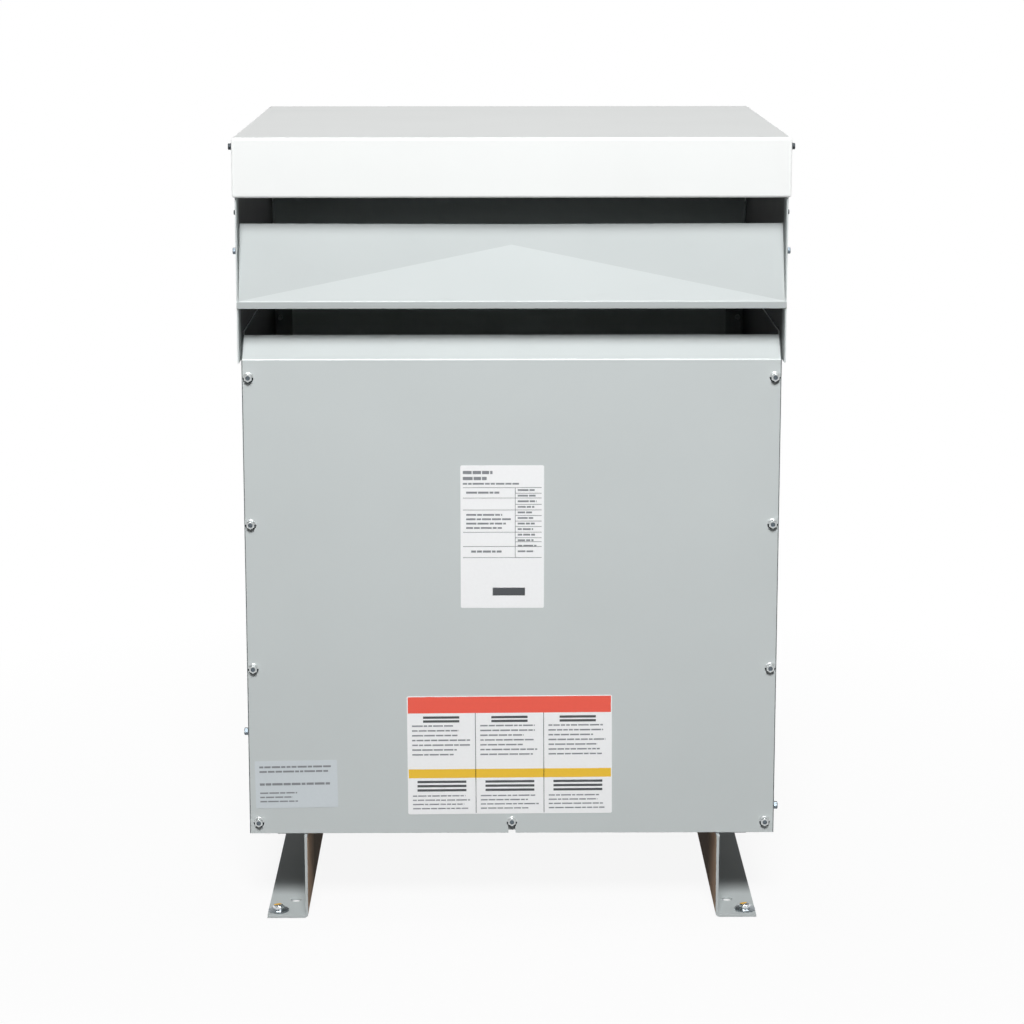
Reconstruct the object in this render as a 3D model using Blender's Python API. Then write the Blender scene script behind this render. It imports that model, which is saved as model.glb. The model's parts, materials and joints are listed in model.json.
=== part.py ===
"""Floor-standing ventilated dry-type transformer, modelled piece by piece.

Metres, +Z up. The front faces -Y, left is -X, and the origin is on the floor under the middle.
"""
import math

import bmesh
import bpy
from mathutils import Matrix, Vector

# Enclosure
BODY_WIDTH = 0.660            # across the two side panels
BODY_DEPTH = 0.562            # between the outer faces of the front and rear panels
SHEET = 0.0019                # thickness of the enclosure's sheet
BEND_RADIUS = 0.002           # inside radius of a fold
GAP = 0.0003                  # clearance between pieces that touch

# Feet and what holds them down
FOOT_HEIGHT = 0.111
FOOT_SHEET = 0.0034
FOOT_FLANGE = 0.0517          # lower flange, which stands on the floor
FOOT_TOP_FLANGE = 0.0377      # upper flange, which carries the base pan
FOOT_INSET = 0.021            # from the side panel's face to the lower flange's edge
FOOT_OVERHANG = 0.009         # beyond the front and rear panels
FOOT_NOTCH_CLEARANCE = 0.0019  # notched ends below the panels' lower edges
FOOT_HOLE_RADIUS = 0.00715
FOOT_HOLE_OFFSET = 0.0192     # from the web
FOOT_HOLE_SETBACK = 0.052     # from the panel's face
HOLD_DOWN_EDGE = 0.013        # bolt centre to the lower flange's edge
HOLD_DOWN_SETBACK = 0.010     # from the panel's face
HOLD_DOWN_SHANK = 0.004       # radius
HOLD_DOWN_FLATS = 0.0127      # across the hex head
HOLD_DOWN_HEAD = 0.0056
WASHER_RADIUS = 0.013
WASHER_THICKNESS = 0.002

# Base pan
BASE_SHEET = 0.0027
BASE_RIM = 0.026
BASE_CORNER = 0.006
AIR_OPENING_WIDTH = 0.120     # a front and a rear opening under each leg's windings
AIR_OPENING_LENGTH = 0.110
AIR_OPENING_SPACING = 0.030   # between the front and the rear one
CABLE_ENTRY_WIDTH = 0.320
CABLE_ENTRY_DEPTH = 0.060
CABLE_ENTRY_SETBACK = 0.022   # behind the pan's front rim

# Side panels
SIDE_FLANGE = 0.025           # turned in behind the front and rear panels
SIDE_NOTCH_MARGIN = 0.006     # clear of the panel's sloped flange

# Front and rear panels
PANEL_HEIGHT = 0.5995         # from the base pan's underside to the fold
PANEL_DROP = 0.0024           # lower edge below the base pan's underside
PANEL_EDGE_SET = 0.0004       # panel edge inside the side panel's face
SHED_RISE = 0.0261            # sloped flange along the top
SHED_DEPTH = 0.032
PANEL_BOLT_EDGE = 0.0083      # side bolts, from the side panel's face
PANEL_CORNER_BOLT_EDGE = 0.012
PANEL_BOLT_TOP_DROP = 0.022   # top bolts below the fold
PANEL_BOLT_PITCH = 0.183
PANEL_BOTTOM_BOLT_RISE = 0.0125
PANEL_SLOT_WIDTH = 0.0088     # open slot for the bolt in the middle of the lower edge
BOLT_SHANK = 0.003            # radius
BOLT_LENGTH = 0.016
BOLT_FLATS = 0.0095
BOLT_HEAD = 0.0045
BOLT_COLLAR = 0.0066          # radius of the washer face
BOLT_COLLAR_HEIGHT = 0.0012
BOLT_DIMPLE = 0.0027          # radius of the hollow in the head
BOLT_DIMPLE_DEPTH = 0.0012
HOLE_CLEARANCE = 0.0005       # on the radius, round every bolt

# Vent head
LOWER_VENT = 0.0389           # opening between the sloped flange and the deflector's lip
LIP_HEIGHT = 0.0085
LIP_PROJECTION = 0.022        # lip in front of the panel's face
DEFLECTOR_RISE = 0.0907
DEFLECTOR_RUN = 0.040
CROSS_BREAK = 0.003           # depth of the creases' peak
CROSS_BREAK_RISE = 0.066      # peak above the lip
DEFLECTOR_TAB = 0.016         # ears turned back against the cheeks
DEFLECTOR_TAB_START = 0.020   # along the slope, from the lip
DEFLECTOR_TAB_LENGTH = 0.055
UPPER_VENT = 0.0338           # opening between the deflector and the hood
CHEEK_DROP = 0.0015           # cheek's lower edge below the panel's fold
CHEEK_OVERLAP = 0.031         # side panel inside the cheek
CHEEK_FLANGE = 0.020          # turned in under the hood

# Hood
HOOD_SKIRT = 0.073
HOOD_OVERHANG = 0.025         # beyond the front and rear panels
HOOD_SIDE_CLEARANCE = 0.0011  # skirt outside the cheeks
HOOD_EDGE_RADIUS = 0.004
HOOD_SCREW_DROP = 0.0119      # below the hood's top
HOOD_SCREW_SETBACK = 0.010    # behind the cheek's front edge
HOOD_SCREW_SHANK = 0.0025     # radius
HOOD_SCREW_FLATS = 0.0080
HOOD_SCREW_HEAD = 0.0052
HOOD_SCREW_COLLAR = 0.0054    # radius of the washer face

# Core and windings
LEG_WIDTH = 0.100
YOKE_HEIGHT = 0.100
CORE_STACK = 0.110
WINDOW_WIDTH = 0.095
WINDOW_HEIGHT = 0.290
LV_BUILD = 0.014
DUCT = 0.008                  # air duct between the two windings of a leg
WINDING_SPACING = 0.012       # between neighbouring legs' windings
WINDING_TOP_GAP = 0.010
LV_CORNER = 0.012
HV_CORNER = 0.026
HV_EDGE = 0.005
STICK_WIDTH = 0.008           # spacers that keep the duct open
STICK_PITCH = 0.038
STICK_END_GAP = 0.006
STICK_ROOT = 0.002            # how deep a spacer is bedded in the inner winding

# Clamps and mounting
CLAMP_SHEET = 0.005
CLAMP_FLANGE = 0.032
LOWER_CLAMP_END = 0.030       # beyond the isolator's centre
UPPER_CLAMP_END = 0.030       # beyond the core
CLAMP_BOLT_SHANK = 0.005      # radius
CLAMP_BOLT_FLATS = 0.016
CLAMP_BOLT_HEAD = 0.007
ISOLATOR_RADIUS = 0.017
ISOLATOR_WAIST = 0.013
ISOLATOR_HEIGHT = 0.030
ISOLATOR_PLATE = 0.004

# Terminals
BOARD_THICKNESS = 0.006
HV_STRAP_WIDTH = 0.025
HV_STRAP_THICKNESS = 0.003
HV_STRAP_DROP = 0.150         # down from the board to the winding's face
HV_STRAP_OFFSET = 0.030       # beside the leg's middle
LV_BAR_WIDTH = 0.030
LV_BAR_THICKNESS = 0.004
LV_BAR_RISE = 0.050
LV_BAR_REACH = 0.125          # towards the front panel
LV_BAR_OFFSET = 0.030         # beside the leg's middle
BAR_STANDOFF = 0.001          # from the clamp's web
STRAP_BEND = 0.004
LUG_HOLE_RADIUS = 0.0055
LUG_HOLE_EDGE = 0.018
LUG_HOLE_PITCH = 0.032
NEUTRAL_BAR_HEIGHT = 0.030
NEUTRAL_BAR_THICKNESS = 0.004
NEUTRAL_BAR_OVERHANG = 0.040  # beyond the outer legs' middles
GROUND_BAR_LENGTH = 0.090
GROUND_BAR_WIDTH = 0.022
GROUND_BAR_THICKNESS = 0.005
GROUND_BAR_SIDE = 0.080       # from the pan's left rim
GROUND_BAR_INSET = 0.030      # from the pan's rear rim

# Fineness of round shapes
BEND_STEPS = 3
HOLE_SIDES = 12
BOLT_SIDES = 12
ROUND_SIDES = 20
CORNER_STEPS = 4
CROWN_SHARE = 0.92            # round top of a hex head, as a share of its flats
SMOOTH_ANGLE = math.radians(32)

# Levels, from the floor up
BASE_LEVEL = FOOT_HEIGHT + GAP
FLOOR_TOP = BASE_LEVEL + BASE_SHEET
PANEL_TOP = BASE_LEVEL + PANEL_HEIGHT
CHEEK_BOTTOM = PANEL_TOP - CHEEK_DROP
LIP_LEVEL = PANEL_TOP + SHED_RISE + LOWER_VENT
HOOD_LEVEL = LIP_LEVEL + LIP_HEIGHT + DEFLECTOR_RISE + UPPER_VENT
HOOD_TOP = HOOD_LEVEL + HOOD_SKIRT
CORE_LEVEL = FLOOR_TOP + ISOLATOR_HEIGHT + 2 * GAP
WINDOW_LEVEL = CORE_LEVEL + YOKE_HEIGHT
WINDING_LEVEL = WINDOW_LEVEL + GAP
WINDING_TOP = WINDOW_LEVEL + WINDOW_HEIGHT - WINDING_TOP_GAP
TOP_YOKE_LEVEL = WINDOW_LEVEL + WINDOW_HEIGHT + GAP
CORE_TOP = TOP_YOKE_LEVEL + YOKE_HEIGHT
BOARD_TOP = CORE_TOP + GAP + BOARD_THICKNESS

# Places across the width, from the middle out
FOOT_X = BODY_WIDTH / 2 - FOOT_INSET - FOOT_FLANGE
ISOLATOR_X = FOOT_X + FOOT_TOP_FLANGE / 2
PANEL_X = BODY_WIDTH / 2 - PANEL_EDGE_SET
BASE_X = BODY_WIDTH / 2 - SHEET - GAP
CHEEK_X = BODY_WIDTH / 2 + GAP + SHEET
HOOD_X = CHEEK_X + HOOD_SIDE_CLEARANCE + SHEET
LEG_PITCH = LEG_WIDTH + WINDOW_WIDTH
CORE_X = LEG_PITCH + LEG_WIDTH / 2
LOWER_CLAMP_X = ISOLATOR_X + LOWER_CLAMP_END
UPPER_CLAMP_X = CORE_X + UPPER_CLAMP_END

# Places across the depth, from the middle out
PANEL_Y = BODY_DEPTH / 2
SIDE_FLANGE_Y = PANEL_Y - SHEET - GAP
BASE_Y = SIDE_FLANGE_Y - SHEET - GAP
CHEEK_Y = PANEL_Y + LIP_PROJECTION - SHEET - GAP
HOOD_SCREW_Y = CHEEK_Y - HOOD_SCREW_SETBACK
HOOD_Y = PANEL_Y + HOOD_OVERHANG
CLAMP_Y = CORE_STACK / 2 + GAP
ISOLATOR_Y = CLAMP_Y + CLAMP_FLANGE / 2
BAR_Y = CLAMP_Y + CLAMP_SHEET + BAR_STANDOFF
HV_BUILD = WINDOW_WIDTH / 2 - WINDING_SPACING / 2 - GAP - LV_BUILD - DUCT
HV_Y = CORE_STACK / 2 + GAP + LV_BUILD + DUCT + HV_BUILD

# The two sides, the two ends and the three legs
SIDES = {"left": -1, "right": 1}
ENDS = {"front": -1, "rear": 1}
LEGS = {"left": -LEG_PITCH, "centre": 0.0, "right": LEG_PITCH}
HALF_TURN = {-1: (0, 0, math.pi), 1: (0, 0, 0)}
HEAD_TO_FRONT = (math.pi / 2, 0, 0)
HEAD_TO_SIDE = {-1: (0, -math.pi / 2, 0), 1: (0, math.pi / 2, 0)}


def finish(name, colour, roughness, metallic):
    """Principled material from an sRGB colour written as RRGGBB."""
    material = bpy.data.materials.new(name)
    material.use_nodes = True
    shader = material.node_tree.nodes["Principled BSDF"]
    channels = [int(colour[at:at + 2], 16) / 255 for at in (0, 2, 4)]
    linear = [value / 12.92 if value <= 0.04045 else ((value + 0.055) / 1.055) ** 2.4 for value in channels]
    shader.inputs["Base Color"].default_value = (*linear, 1.0)
    shader.inputs["Roughness"].default_value = roughness
    shader.inputs["Metallic"].default_value = metallic
    return material


def place(mesh, name, material, location=(0, 0, 0), rotation=(0, 0, 0), parent=None):
    """Put a finished bmesh into the scene as a named object."""
    bmesh.ops.recalc_face_normals(mesh, faces=mesh.faces)
    data = bpy.data.meshes.new(name)
    mesh.to_mesh(data)
    mesh.free()
    data.materials.append(material)
    data.shade_smooth()
    data.set_sharp_from_angle(angle=SMOOTH_ANGLE)
    piece = bpy.data.objects.new(name, data)
    bpy.context.scene.collection.objects.link(piece)
    piece.location = location
    piece.rotation_euler = rotation
    piece.parent = parent
    return piece


def carrier(name, location, rotation=(0, 0, 0)):
    """Empty that carries a moving piece and what rides on it."""
    empty = bpy.data.objects.new(name, None)
    bpy.context.scene.collection.objects.link(empty)
    empty.location = location
    empty.rotation_euler = rotation
    return empty


def combine(piece, tool_mesh, operation):
    """Cut a tool out of a piece, or join it on; both are in the piece's own coordinates."""
    tool = place(tool_mesh, "tool", piece.data.materials[0])
    bpy.context.view_layer.update()
    tool.matrix_world = piece.matrix_world
    modifier = piece.modifiers.new("shape", "BOOLEAN")
    modifier.operation = operation
    modifier.object = tool
    graph = bpy.context.evaluated_depsgraph_get()
    piece.data = bpy.data.meshes.new_from_object(piece.evaluated_get(graph))
    piece.modifiers.clear()
    bpy.data.objects.remove(tool)


def circle(radius, level, sides):
    """Ring of points about Z."""
    angles = [2 * math.pi * step / sides for step in range(sides)]
    return [Vector((radius * math.cos(angle), radius * math.sin(angle), level)) for angle in angles]


def hexagon(flats, level):
    """Ring of points on a hexagon, as many as on the round rings beside it."""
    ring = []
    for step in range(BOLT_SIDES):
        angle = 2 * math.pi * step / BOLT_SIDES
        from_flat = (angle + math.pi / 6) % (math.pi / 3) - math.pi / 6
        radius = flats / 2 / math.cos(from_flat)
        ring.append(Vector((radius * math.cos(angle), radius * math.sin(angle), level)))
    return ring


def rounded_rectangle(half_x, half_y, radius, level):
    """Ring of points on a rectangle with round corners."""
    ring = []
    for corner, (sign_x, sign_y) in enumerate(((1, 1), (-1, 1), (-1, -1), (1, -1))):
        for step in range(CORNER_STEPS + 1):
            angle = math.pi / 2 * (corner + step / CORNER_STEPS)
            x = sign_x * (half_x - radius) + radius * math.cos(angle)
            y = sign_y * (half_y - radius) + radius * math.sin(angle)
            ring.append(Vector((x, y, level)))
    return ring


def loft(rings, endless=False, into=None):
    """Skin over rings of equal length; the ends are capped, or joined to each other when endless."""
    mesh = into or bmesh.new()
    rows = [[mesh.verts.new(point) for point in ring] for ring in rings]
    count = len(rows[0])
    pairs = list(zip(rows, rows[1:]))
    if endless:
        pairs.append((rows[-1], rows[0]))
    for low, high in pairs:
        for at in range(count):
            after = (at + 1) % count
            mesh.faces.new((low[at], low[after], high[after], high[at]))
    if not endless:
        mesh.faces.new(rows[0])
        mesh.faces.new(rows[-1])
    return mesh


def box(low, high, into=None):
    """Rectangular block between two corners."""
    outline = ((low[0], low[1]), (high[0], low[1]), (high[0], high[1]), (low[0], high[1]))
    return loft([[Vector((x, y, z)) for x, y in outline] for z in (low[2], high[2])], into=into)


def prism(outline, half_length, into=None):
    """Solid with a flat outline in X and Z, carried both ways along Y."""
    rings = []
    for end in (-half_length, half_length):
        rings.append([Vector((x, end, z)) for x, z in outline])
    return loft(rings, into=into)


def rod(axis, radius, middle, half_length, into=None):
    """Round tool along X, Y or Z."""
    turn = {
        "X": Matrix.Rotation(math.pi / 2, 3, "Y"),
        "Y": Matrix.Rotation(math.pi / 2, 3, "X"),
        "Z": Matrix.Identity(3),
    }[axis]
    rings = []
    for end in (-half_length, half_length):
        rings.append([Vector(middle) + turn @ point for point in circle(radius, end, HOLE_SIDES)])
    return loft(rings, into=into)


def left_of(direction):
    return Vector((-direction.y, direction.x))


def fold(points, thickness, radius=BEND_RADIUS):
    """Section of a folded sheet: its face through the points, and its back one thickness to the left."""
    points = [Vector(point) for point in points]
    first = left_of((points[1] - points[0]).normalized())
    last = left_of((points[-1] - points[-2]).normalized())
    face = [points[0]]
    back = [points[0] + first * thickness]
    for before, corner, after in zip(points, points[1:], points[2:]):
        arrive = (corner - before).normalized()
        leave = (after - corner).normalized()
        turn = math.atan2(arrive.cross(leave), arrive.dot(leave))
        side = math.copysign(1, turn)
        face_radius = radius + thickness if side > 0 else radius
        to_centre = left_of(arrive) * side
        centre = corner - arrive * face_radius * math.tan(abs(turn) / 2) + to_centre * face_radius
        for step in range(BEND_STEPS + 1):
            outward = Matrix.Rotation(turn * step / BEND_STEPS, 2) @ -to_centre
            face.append(centre + outward * face_radius)
            back.append(centre + outward * (face_radius - side * thickness))
    face.append(points[-1])
    back.append(points[-1] + last * thickness)
    return face, back


def sweep(section, axis, start, end):
    """Folded section carried along X (section in Y, Z), Y (in X, Z) or Z (in X, Y)."""
    mesh = bmesh.new()
    spot = {
        "X": lambda point, at: (at, point.x, point.y),
        "Y": lambda point, at: (point.x, at, point.y),
        "Z": lambda point, at: (point.x, point.y, at),
    }[axis]
    ends = []
    for at in (start, end):
        ends.append([[mesh.verts.new(spot(point, at)) for point in line] for line in section])
    (near_face, near_back), (far_face, far_back) = ends
    strips = ((near_face, far_face), (near_back, far_back), (near_face, near_back), (far_face, far_back))
    for one, other in strips:
        for at in range(len(one) - 1):
            mesh.faces.new((one[at], one[at + 1], other[at + 1], other[at]))
    for at in (0, -1):
        mesh.faces.new((near_face[at], near_back[at], far_back[at], far_face[at]))
    return mesh


def washer_head_bolt(shank, length, collar, flats, head):
    """Bolt along Z whose hex head stands on a round washer face and is dimpled on top."""
    return loft([
        circle(shank, -length, BOLT_SIDES),
        circle(shank, 0, BOLT_SIDES),
        circle(collar, 0, BOLT_SIDES),
        circle(collar, BOLT_COLLAR_HEIGHT, BOLT_SIDES),
        hexagon(flats, BOLT_COLLAR_HEIGHT),
        hexagon(flats, head * CROWN_SHARE),
        circle(flats / 2 * CROWN_SHARE, head, BOLT_SIDES),
        circle(BOLT_DIMPLE, head, BOLT_SIDES),
        circle(BOLT_DIMPLE * CROWN_SHARE, head - BOLT_DIMPLE_DEPTH, BOLT_SIDES),
    ])


def make_feet(paint):
    """Two channels, front to back, open towards the sides; their ends are notched under the panels."""
    section = fold(
        [(FOOT_TOP_FLANGE, FOOT_HEIGHT), (0, FOOT_HEIGHT), (0, 0), (FOOT_FLANGE, 0)], FOOT_SHEET)
    half_length = PANEL_Y + FOOT_OVERHANG
    notch_level = BASE_LEVEL - PANEL_DROP - FOOT_NOTCH_CLEARANCE
    for side, sign in SIDES.items():
        mesh = sweep(section, "Y", -half_length, half_length)
        foot = place(mesh, f"{side}_foot", paint, (sign * FOOT_X, 0, 0), HALF_TURN[sign])
        cuts = bmesh.new()
        for end in ENDS.values():
            mounting_hole = (FOOT_HOLE_OFFSET, end * (PANEL_Y - FOOT_HOLE_SETBACK), 0)
            rod("Z", FOOT_HOLE_RADIUS, mounting_hole, 2 * FOOT_SHEET, cuts)
            bolt_hole = (FOOT_FLANGE - HOLD_DOWN_EDGE, end * (PANEL_Y - HOLD_DOWN_SETBACK), 0)
            rod("Z", HOLD_DOWN_SHANK + HOLE_CLEARANCE, bolt_hole, 2 * FOOT_SHEET, cuts)
            near_y, far_y = sorted((end * SIDE_FLANGE_Y, end * 2 * half_length))
            box((-FOOT_FLANGE, near_y, notch_level), (FOOT_FLANGE, far_y, 2 * FOOT_HEIGHT), cuts)
        combine(foot, cuts, "DIFFERENCE")


def make_hold_downs(zinc):
    """Hex bolt and plain washer near each end of each foot; the shank ends at the floor."""
    washer_level = FOOT_SHEET + GAP
    head_level = washer_level + WASHER_THICKNESS + GAP
    bore = HOLD_DOWN_SHANK + HOLE_CLEARANCE
    for end_name, end in ENDS.items():
        for side, sign in SIDES.items():
            x = sign * (FOOT_X + FOOT_FLANGE - HOLD_DOWN_EDGE)
            y = end * (PANEL_Y - HOLD_DOWN_SETBACK)
            washer = loft([
                circle(WASHER_RADIUS, 0, ROUND_SIDES),
                circle(WASHER_RADIUS, WASHER_THICKNESS, ROUND_SIDES),
                circle(bore, WASHER_THICKNESS, ROUND_SIDES),
                circle(bore, 0, ROUND_SIDES),
            ], endless=True)
            place(washer, f"hold_down_washer_{end_name}_{side}", zinc, (x, y, washer_level))
            bolt = loft([
                circle(HOLD_DOWN_SHANK, GAP - head_level, BOLT_SIDES),
                circle(HOLD_DOWN_SHANK, 0, BOLT_SIDES),
                hexagon(HOLD_DOWN_FLATS, 0),
                hexagon(HOLD_DOWN_FLATS, HOLD_DOWN_HEAD * CROWN_SHARE),
                circle(HOLD_DOWN_FLATS / 2 * CROWN_SHARE, HOLD_DOWN_HEAD, BOLT_SIDES),
            ])
            place(bolt, f"hold_down_bolt_{end_name}_{side}", zinc, (x, y, head_level))


def panel_bolt_places():
    """Bolts of a panel by name: across from its middle, and up from the base pan's underside."""
    top = PANEL_HEIGHT - PANEL_BOLT_TOP_DROP
    rows = {"top": top, "upper": top - PANEL_BOLT_PITCH, "lower": top - 2 * PANEL_BOLT_PITCH}
    places = {"bottom_centre": (0.0, PANEL_BOTTOM_BOLT_RISE)}
    for side, sign in SIDES.items():
        for row, level in rows.items():
            places[f"{row}_{side}"] = (sign * (BODY_WIDTH / 2 - PANEL_BOLT_EDGE), level)
        corner_x = sign * (BODY_WIDTH / 2 - PANEL_CORNER_BOLT_EDGE)
        places[f"bottom_{side}"] = (corner_x, PANEL_BOTTOM_BOLT_RISE)
    return places


def make_base_pan(paint):
    """Tray on the feet, with air openings under the windings and a cable entry at the front."""
    inner = (BASE_X - BASE_SHEET, BASE_Y - BASE_SHEET, BASE_CORNER - BASE_SHEET)
    tray = loft([
        rounded_rectangle(BASE_X, BASE_Y, BASE_CORNER, 0),
        rounded_rectangle(BASE_X, BASE_Y, BASE_CORNER, BASE_RIM),
        rounded_rectangle(*inner, BASE_RIM),
        rounded_rectangle(*inner, BASE_SHEET),
    ])
    pan = place(tray, "base_pan", paint, (0, 0, BASE_LEVEL))
    openings = bmesh.new()
    low, high = -BASE_SHEET, 2 * BASE_SHEET
    for end in ENDS.values():
        near_y, far_y = sorted((
            end * AIR_OPENING_SPACING / 2,
            end * (AIR_OPENING_SPACING / 2 + AIR_OPENING_LENGTH),
        ))
        for leg_x in LEGS.values():
            corner = (leg_x - AIR_OPENING_WIDTH / 2, near_y, low)
            box(corner, (leg_x + AIR_OPENING_WIDTH / 2, far_y, high), openings)
        for name, (x, rise) in panel_bolt_places().items():
            if name.startswith("bottom"):
                bolt_hole = (x, end * BASE_Y, rise)
                rod("Y", BOLT_SHANK + HOLE_CLEARANCE, bolt_hole, 2 * BASE_SHEET, openings)
    entry_x = CABLE_ENTRY_WIDTH / 2
    entry_y = CABLE_ENTRY_SETBACK - BASE_Y
    box((-entry_x, entry_y, low), (entry_x, entry_y + CABLE_ENTRY_DEPTH, high), openings)
    combine(pan, openings, "DIFFERENCE")


def make_side_panels(paint):
    """Sheet sides with flanges turned in behind the panels, and corners notched under the vent head."""
    outer = BODY_WIDTH / 2
    section = fold([
        (outer - SIDE_FLANGE, -SIDE_FLANGE_Y),
        (outer, -SIDE_FLANGE_Y),
        (outer, SIDE_FLANGE_Y),
        (outer - SIDE_FLANGE, SIDE_FLANGE_Y),
    ], SHEET)
    flange_top = CHEEK_BOTTOM - GAP
    wall_top = CHEEK_BOTTOM + CHEEK_OVERLAP
    notch_y = PANEL_Y - SHED_DEPTH - SIDE_NOTCH_MARGIN
    for side, sign in SIDES.items():
        mesh = sweep(section, "Z", BASE_LEVEL, wall_top)
        panel = place(mesh, f"{side}_side_panel", paint, rotation=HALF_TURN[sign])
        cuts = bmesh.new()
        box((0, notch_y, flange_top), (BODY_WIDTH, PANEL_Y, HOOD_TOP), cuts)
        box((0, -PANEL_Y, flange_top), (BODY_WIDTH, -notch_y, HOOD_TOP), cuts)
        for x, rise in panel_bolt_places().values():
            if x > 0:
                for end in ENDS.values():
                    bolt_hole = (x, end * SIDE_FLANGE_Y, BASE_LEVEL + rise)
                    rod("Y", BOLT_SHANK + HOLE_CLEARANCE, bolt_hole, 2 * SHEET, cuts)
        combine(panel, cuts, "DIFFERENCE")


def make_vent_cheeks(paint):
    """Upper side plates: they overlap the side panels and carry the deflectors and the hood."""
    top = HOOD_TOP - SHEET - GAP
    section = fold([(CHEEK_X, CHEEK_BOTTOM), (CHEEK_X, top), (CHEEK_X - CHEEK_FLANGE, top)], SHEET)
    for side, sign in SIDES.items():
        mesh = sweep(section, "Y", -CHEEK_Y, CHEEK_Y)
        place(mesh, f"{side}_vent_cheek", paint, rotation=HALF_TURN[sign])


def make_deflectors(paint):
    """Sloped rain deflectors with a lip over the cheeks' edges and a shallow cross-broken crease.

    The sheet is drawn by its front face: a lip, a fold, and three flat facets that meet at the
    creases' peak, then given its thickness.
    """
    half_x = BODY_WIDTH / 2
    top = Vector((DEFLECTOR_RUN, LIP_HEIGHT + DEFLECTOR_RISE))
    face, _ = fold([top, (0, LIP_HEIGHT), (0, 0)], SHEET)
    fold_line = face[1:-1]
    slope_foot = fold_line[0]
    slope = (top - slope_foot).normalized()
    inward = Vector((slope.y, -slope.x))
    slope_length = (top - slope_foot).length
    peak_along = CROSS_BREAK_RISE / slope.y
    tab_end = DEFLECTOR_TAB_START + DEFLECTOR_TAB_LENGTH

    def on_slope(x, along, depth=0.0):
        spot = slope_foot + slope * along + inward * depth
        return x, spot.x, spot.y

    for end_name, end in ENDS.items():
        mesh = bmesh.new()
        peak = mesh.verts.new(on_slope(0, peak_along, CROSS_BREAK))
        crest = mesh.verts.new(on_slope(0, slope_length, CROSS_BREAK))
        feet = {}
        lip_ends = {}
        for sign in SIDES.values():
            x = sign * half_x
            stops = (0, DEFLECTOR_TAB_START, tab_end, slope_length)
            edge = [mesh.verts.new(on_slope(x, along)) for along in stops]
            mesh.faces.new((*edge, crest, peak))
            tab = []
            for along in stops[1:3]:
                foot = on_slope(x, along)
                tab.append(mesh.verts.new((foot[0], foot[1] + DEFLECTOR_TAB, foot[2])))
            mesh.faces.new((edge[1], edge[2], tab[1], tab[0]))
            below = [mesh.verts.new((x, spot.x, spot.y)) for spot in fold_line[1:]]
            below.append(mesh.verts.new((x, 0, 0)))
            feet[sign] = [edge[0], *below]
            lip_ends[sign] = [mesh.verts.new((sign * CHEEK_X, 0, level)) for level in (fold_line[-1].y, 0)]
            mesh.faces.new((below[-2], below[-1], lip_ends[sign][1], lip_ends[sign][0]))
        mesh.faces.new((feet[-1][0], feet[1][0], peak))
        for at in range(len(feet[1]) - 1):
            mesh.faces.new((feet[-1][at], feet[1][at], feet[1][at + 1], feet[-1][at + 1]))
        spot = (0, end * (PANEL_Y + LIP_PROJECTION), LIP_LEVEL)
        deflector = place(mesh, f"{end_name}_deflector", paint, spot, HALF_TURN[-end])
        thickness = deflector.modifiers.new("sheet", "SOLIDIFY")
        thickness.thickness = SHEET
        thickness.offset = -1
        thickness.use_even_offset = True


def make_hood(paint, zinc):
    """Pan-shaped lid over the cheeks, with the two front screws.

    The screws end inside the sheet, so that they can rise with the hood.
    """
    mesh = box((-HOOD_X, -HOOD_Y, 0), (HOOD_X, HOOD_Y, HOOD_SKIRT))
    bmesh.ops.bevel(
        mesh, geom=mesh.edges[:], offset=HOOD_EDGE_RADIUS, segments=BEND_STEPS, profile=0.5, affect="EDGES")
    hood = place(mesh, "top_hood", paint, (0, 0, HOOD_LEVEL))
    cavity = (HOOD_X - SHEET, HOOD_Y - SHEET)
    hollow = box((-cavity[0], -cavity[1], -SHEET), (*cavity, HOOD_SKIRT - SHEET))
    combine(hood, hollow, "DIFFERENCE")
    screw_level = HOOD_SKIRT - HOOD_SCREW_DROP
    holes = bmesh.new()
    for sign in SIDES.values():
        screw_hole = (sign * HOOD_X, -HOOD_SCREW_Y, screw_level)
        rod("X", HOOD_SCREW_SHANK + HOLE_CLEARANCE, screw_hole, 2 * SHEET, holes)
    combine(hood, holes, "DIFFERENCE")
    for side, sign in SIDES.items():
        screw = washer_head_bolt(
            HOOD_SCREW_SHANK, SHEET, HOOD_SCREW_COLLAR, HOOD_SCREW_FLATS, HOOD_SCREW_HEAD)
        spot = (sign * (HOOD_X + GAP), -HOOD_SCREW_Y, screw_level)
        place(screw, f"{side}_hood_screw", zinc, spot, HEAD_TO_SIDE[sign], hood)


def make_panel(end_name, paint):
    """Flat access panel with a sloped flange along its top; its carrier is returned."""
    end = ENDS[end_name]
    holder = carrier(f"{end_name}_panel_carrier", (0, end * PANEL_Y, BASE_LEVEL), HALF_TURN[-end])
    section = fold([(SHED_DEPTH, PANEL_HEIGHT + SHED_RISE), (0, PANEL_HEIGHT), (0, -PANEL_DROP)], SHEET)
    panel = place(sweep(section, "X", -PANEL_X, PANEL_X), f"{end_name}_panel", paint, parent=holder)
    cuts = bmesh.new()
    for name, (x, rise) in panel_bolt_places().items():
        if name != "bottom_centre":
            rod("Y", BOLT_SHANK + HOLE_CLEARANCE, (x, 0, rise), 2 * SHEET, cuts)
    half_slot = PANEL_SLOT_WIDTH / 2
    slot_mouth = -PANEL_DROP - SHEET
    arch = [(-half_slot, slot_mouth), (half_slot, slot_mouth)]
    for step in range(HOLE_SIDES + 1):
        angle = math.pi * step / HOLE_SIDES
        arch.append((half_slot * math.cos(angle), PANEL_BOTTOM_BOLT_RISE + half_slot * math.sin(angle)))
    prism(arch, 2 * SHEET, cuts)
    combine(panel, cuts, "DIFFERENCE")
    return holder


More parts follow.
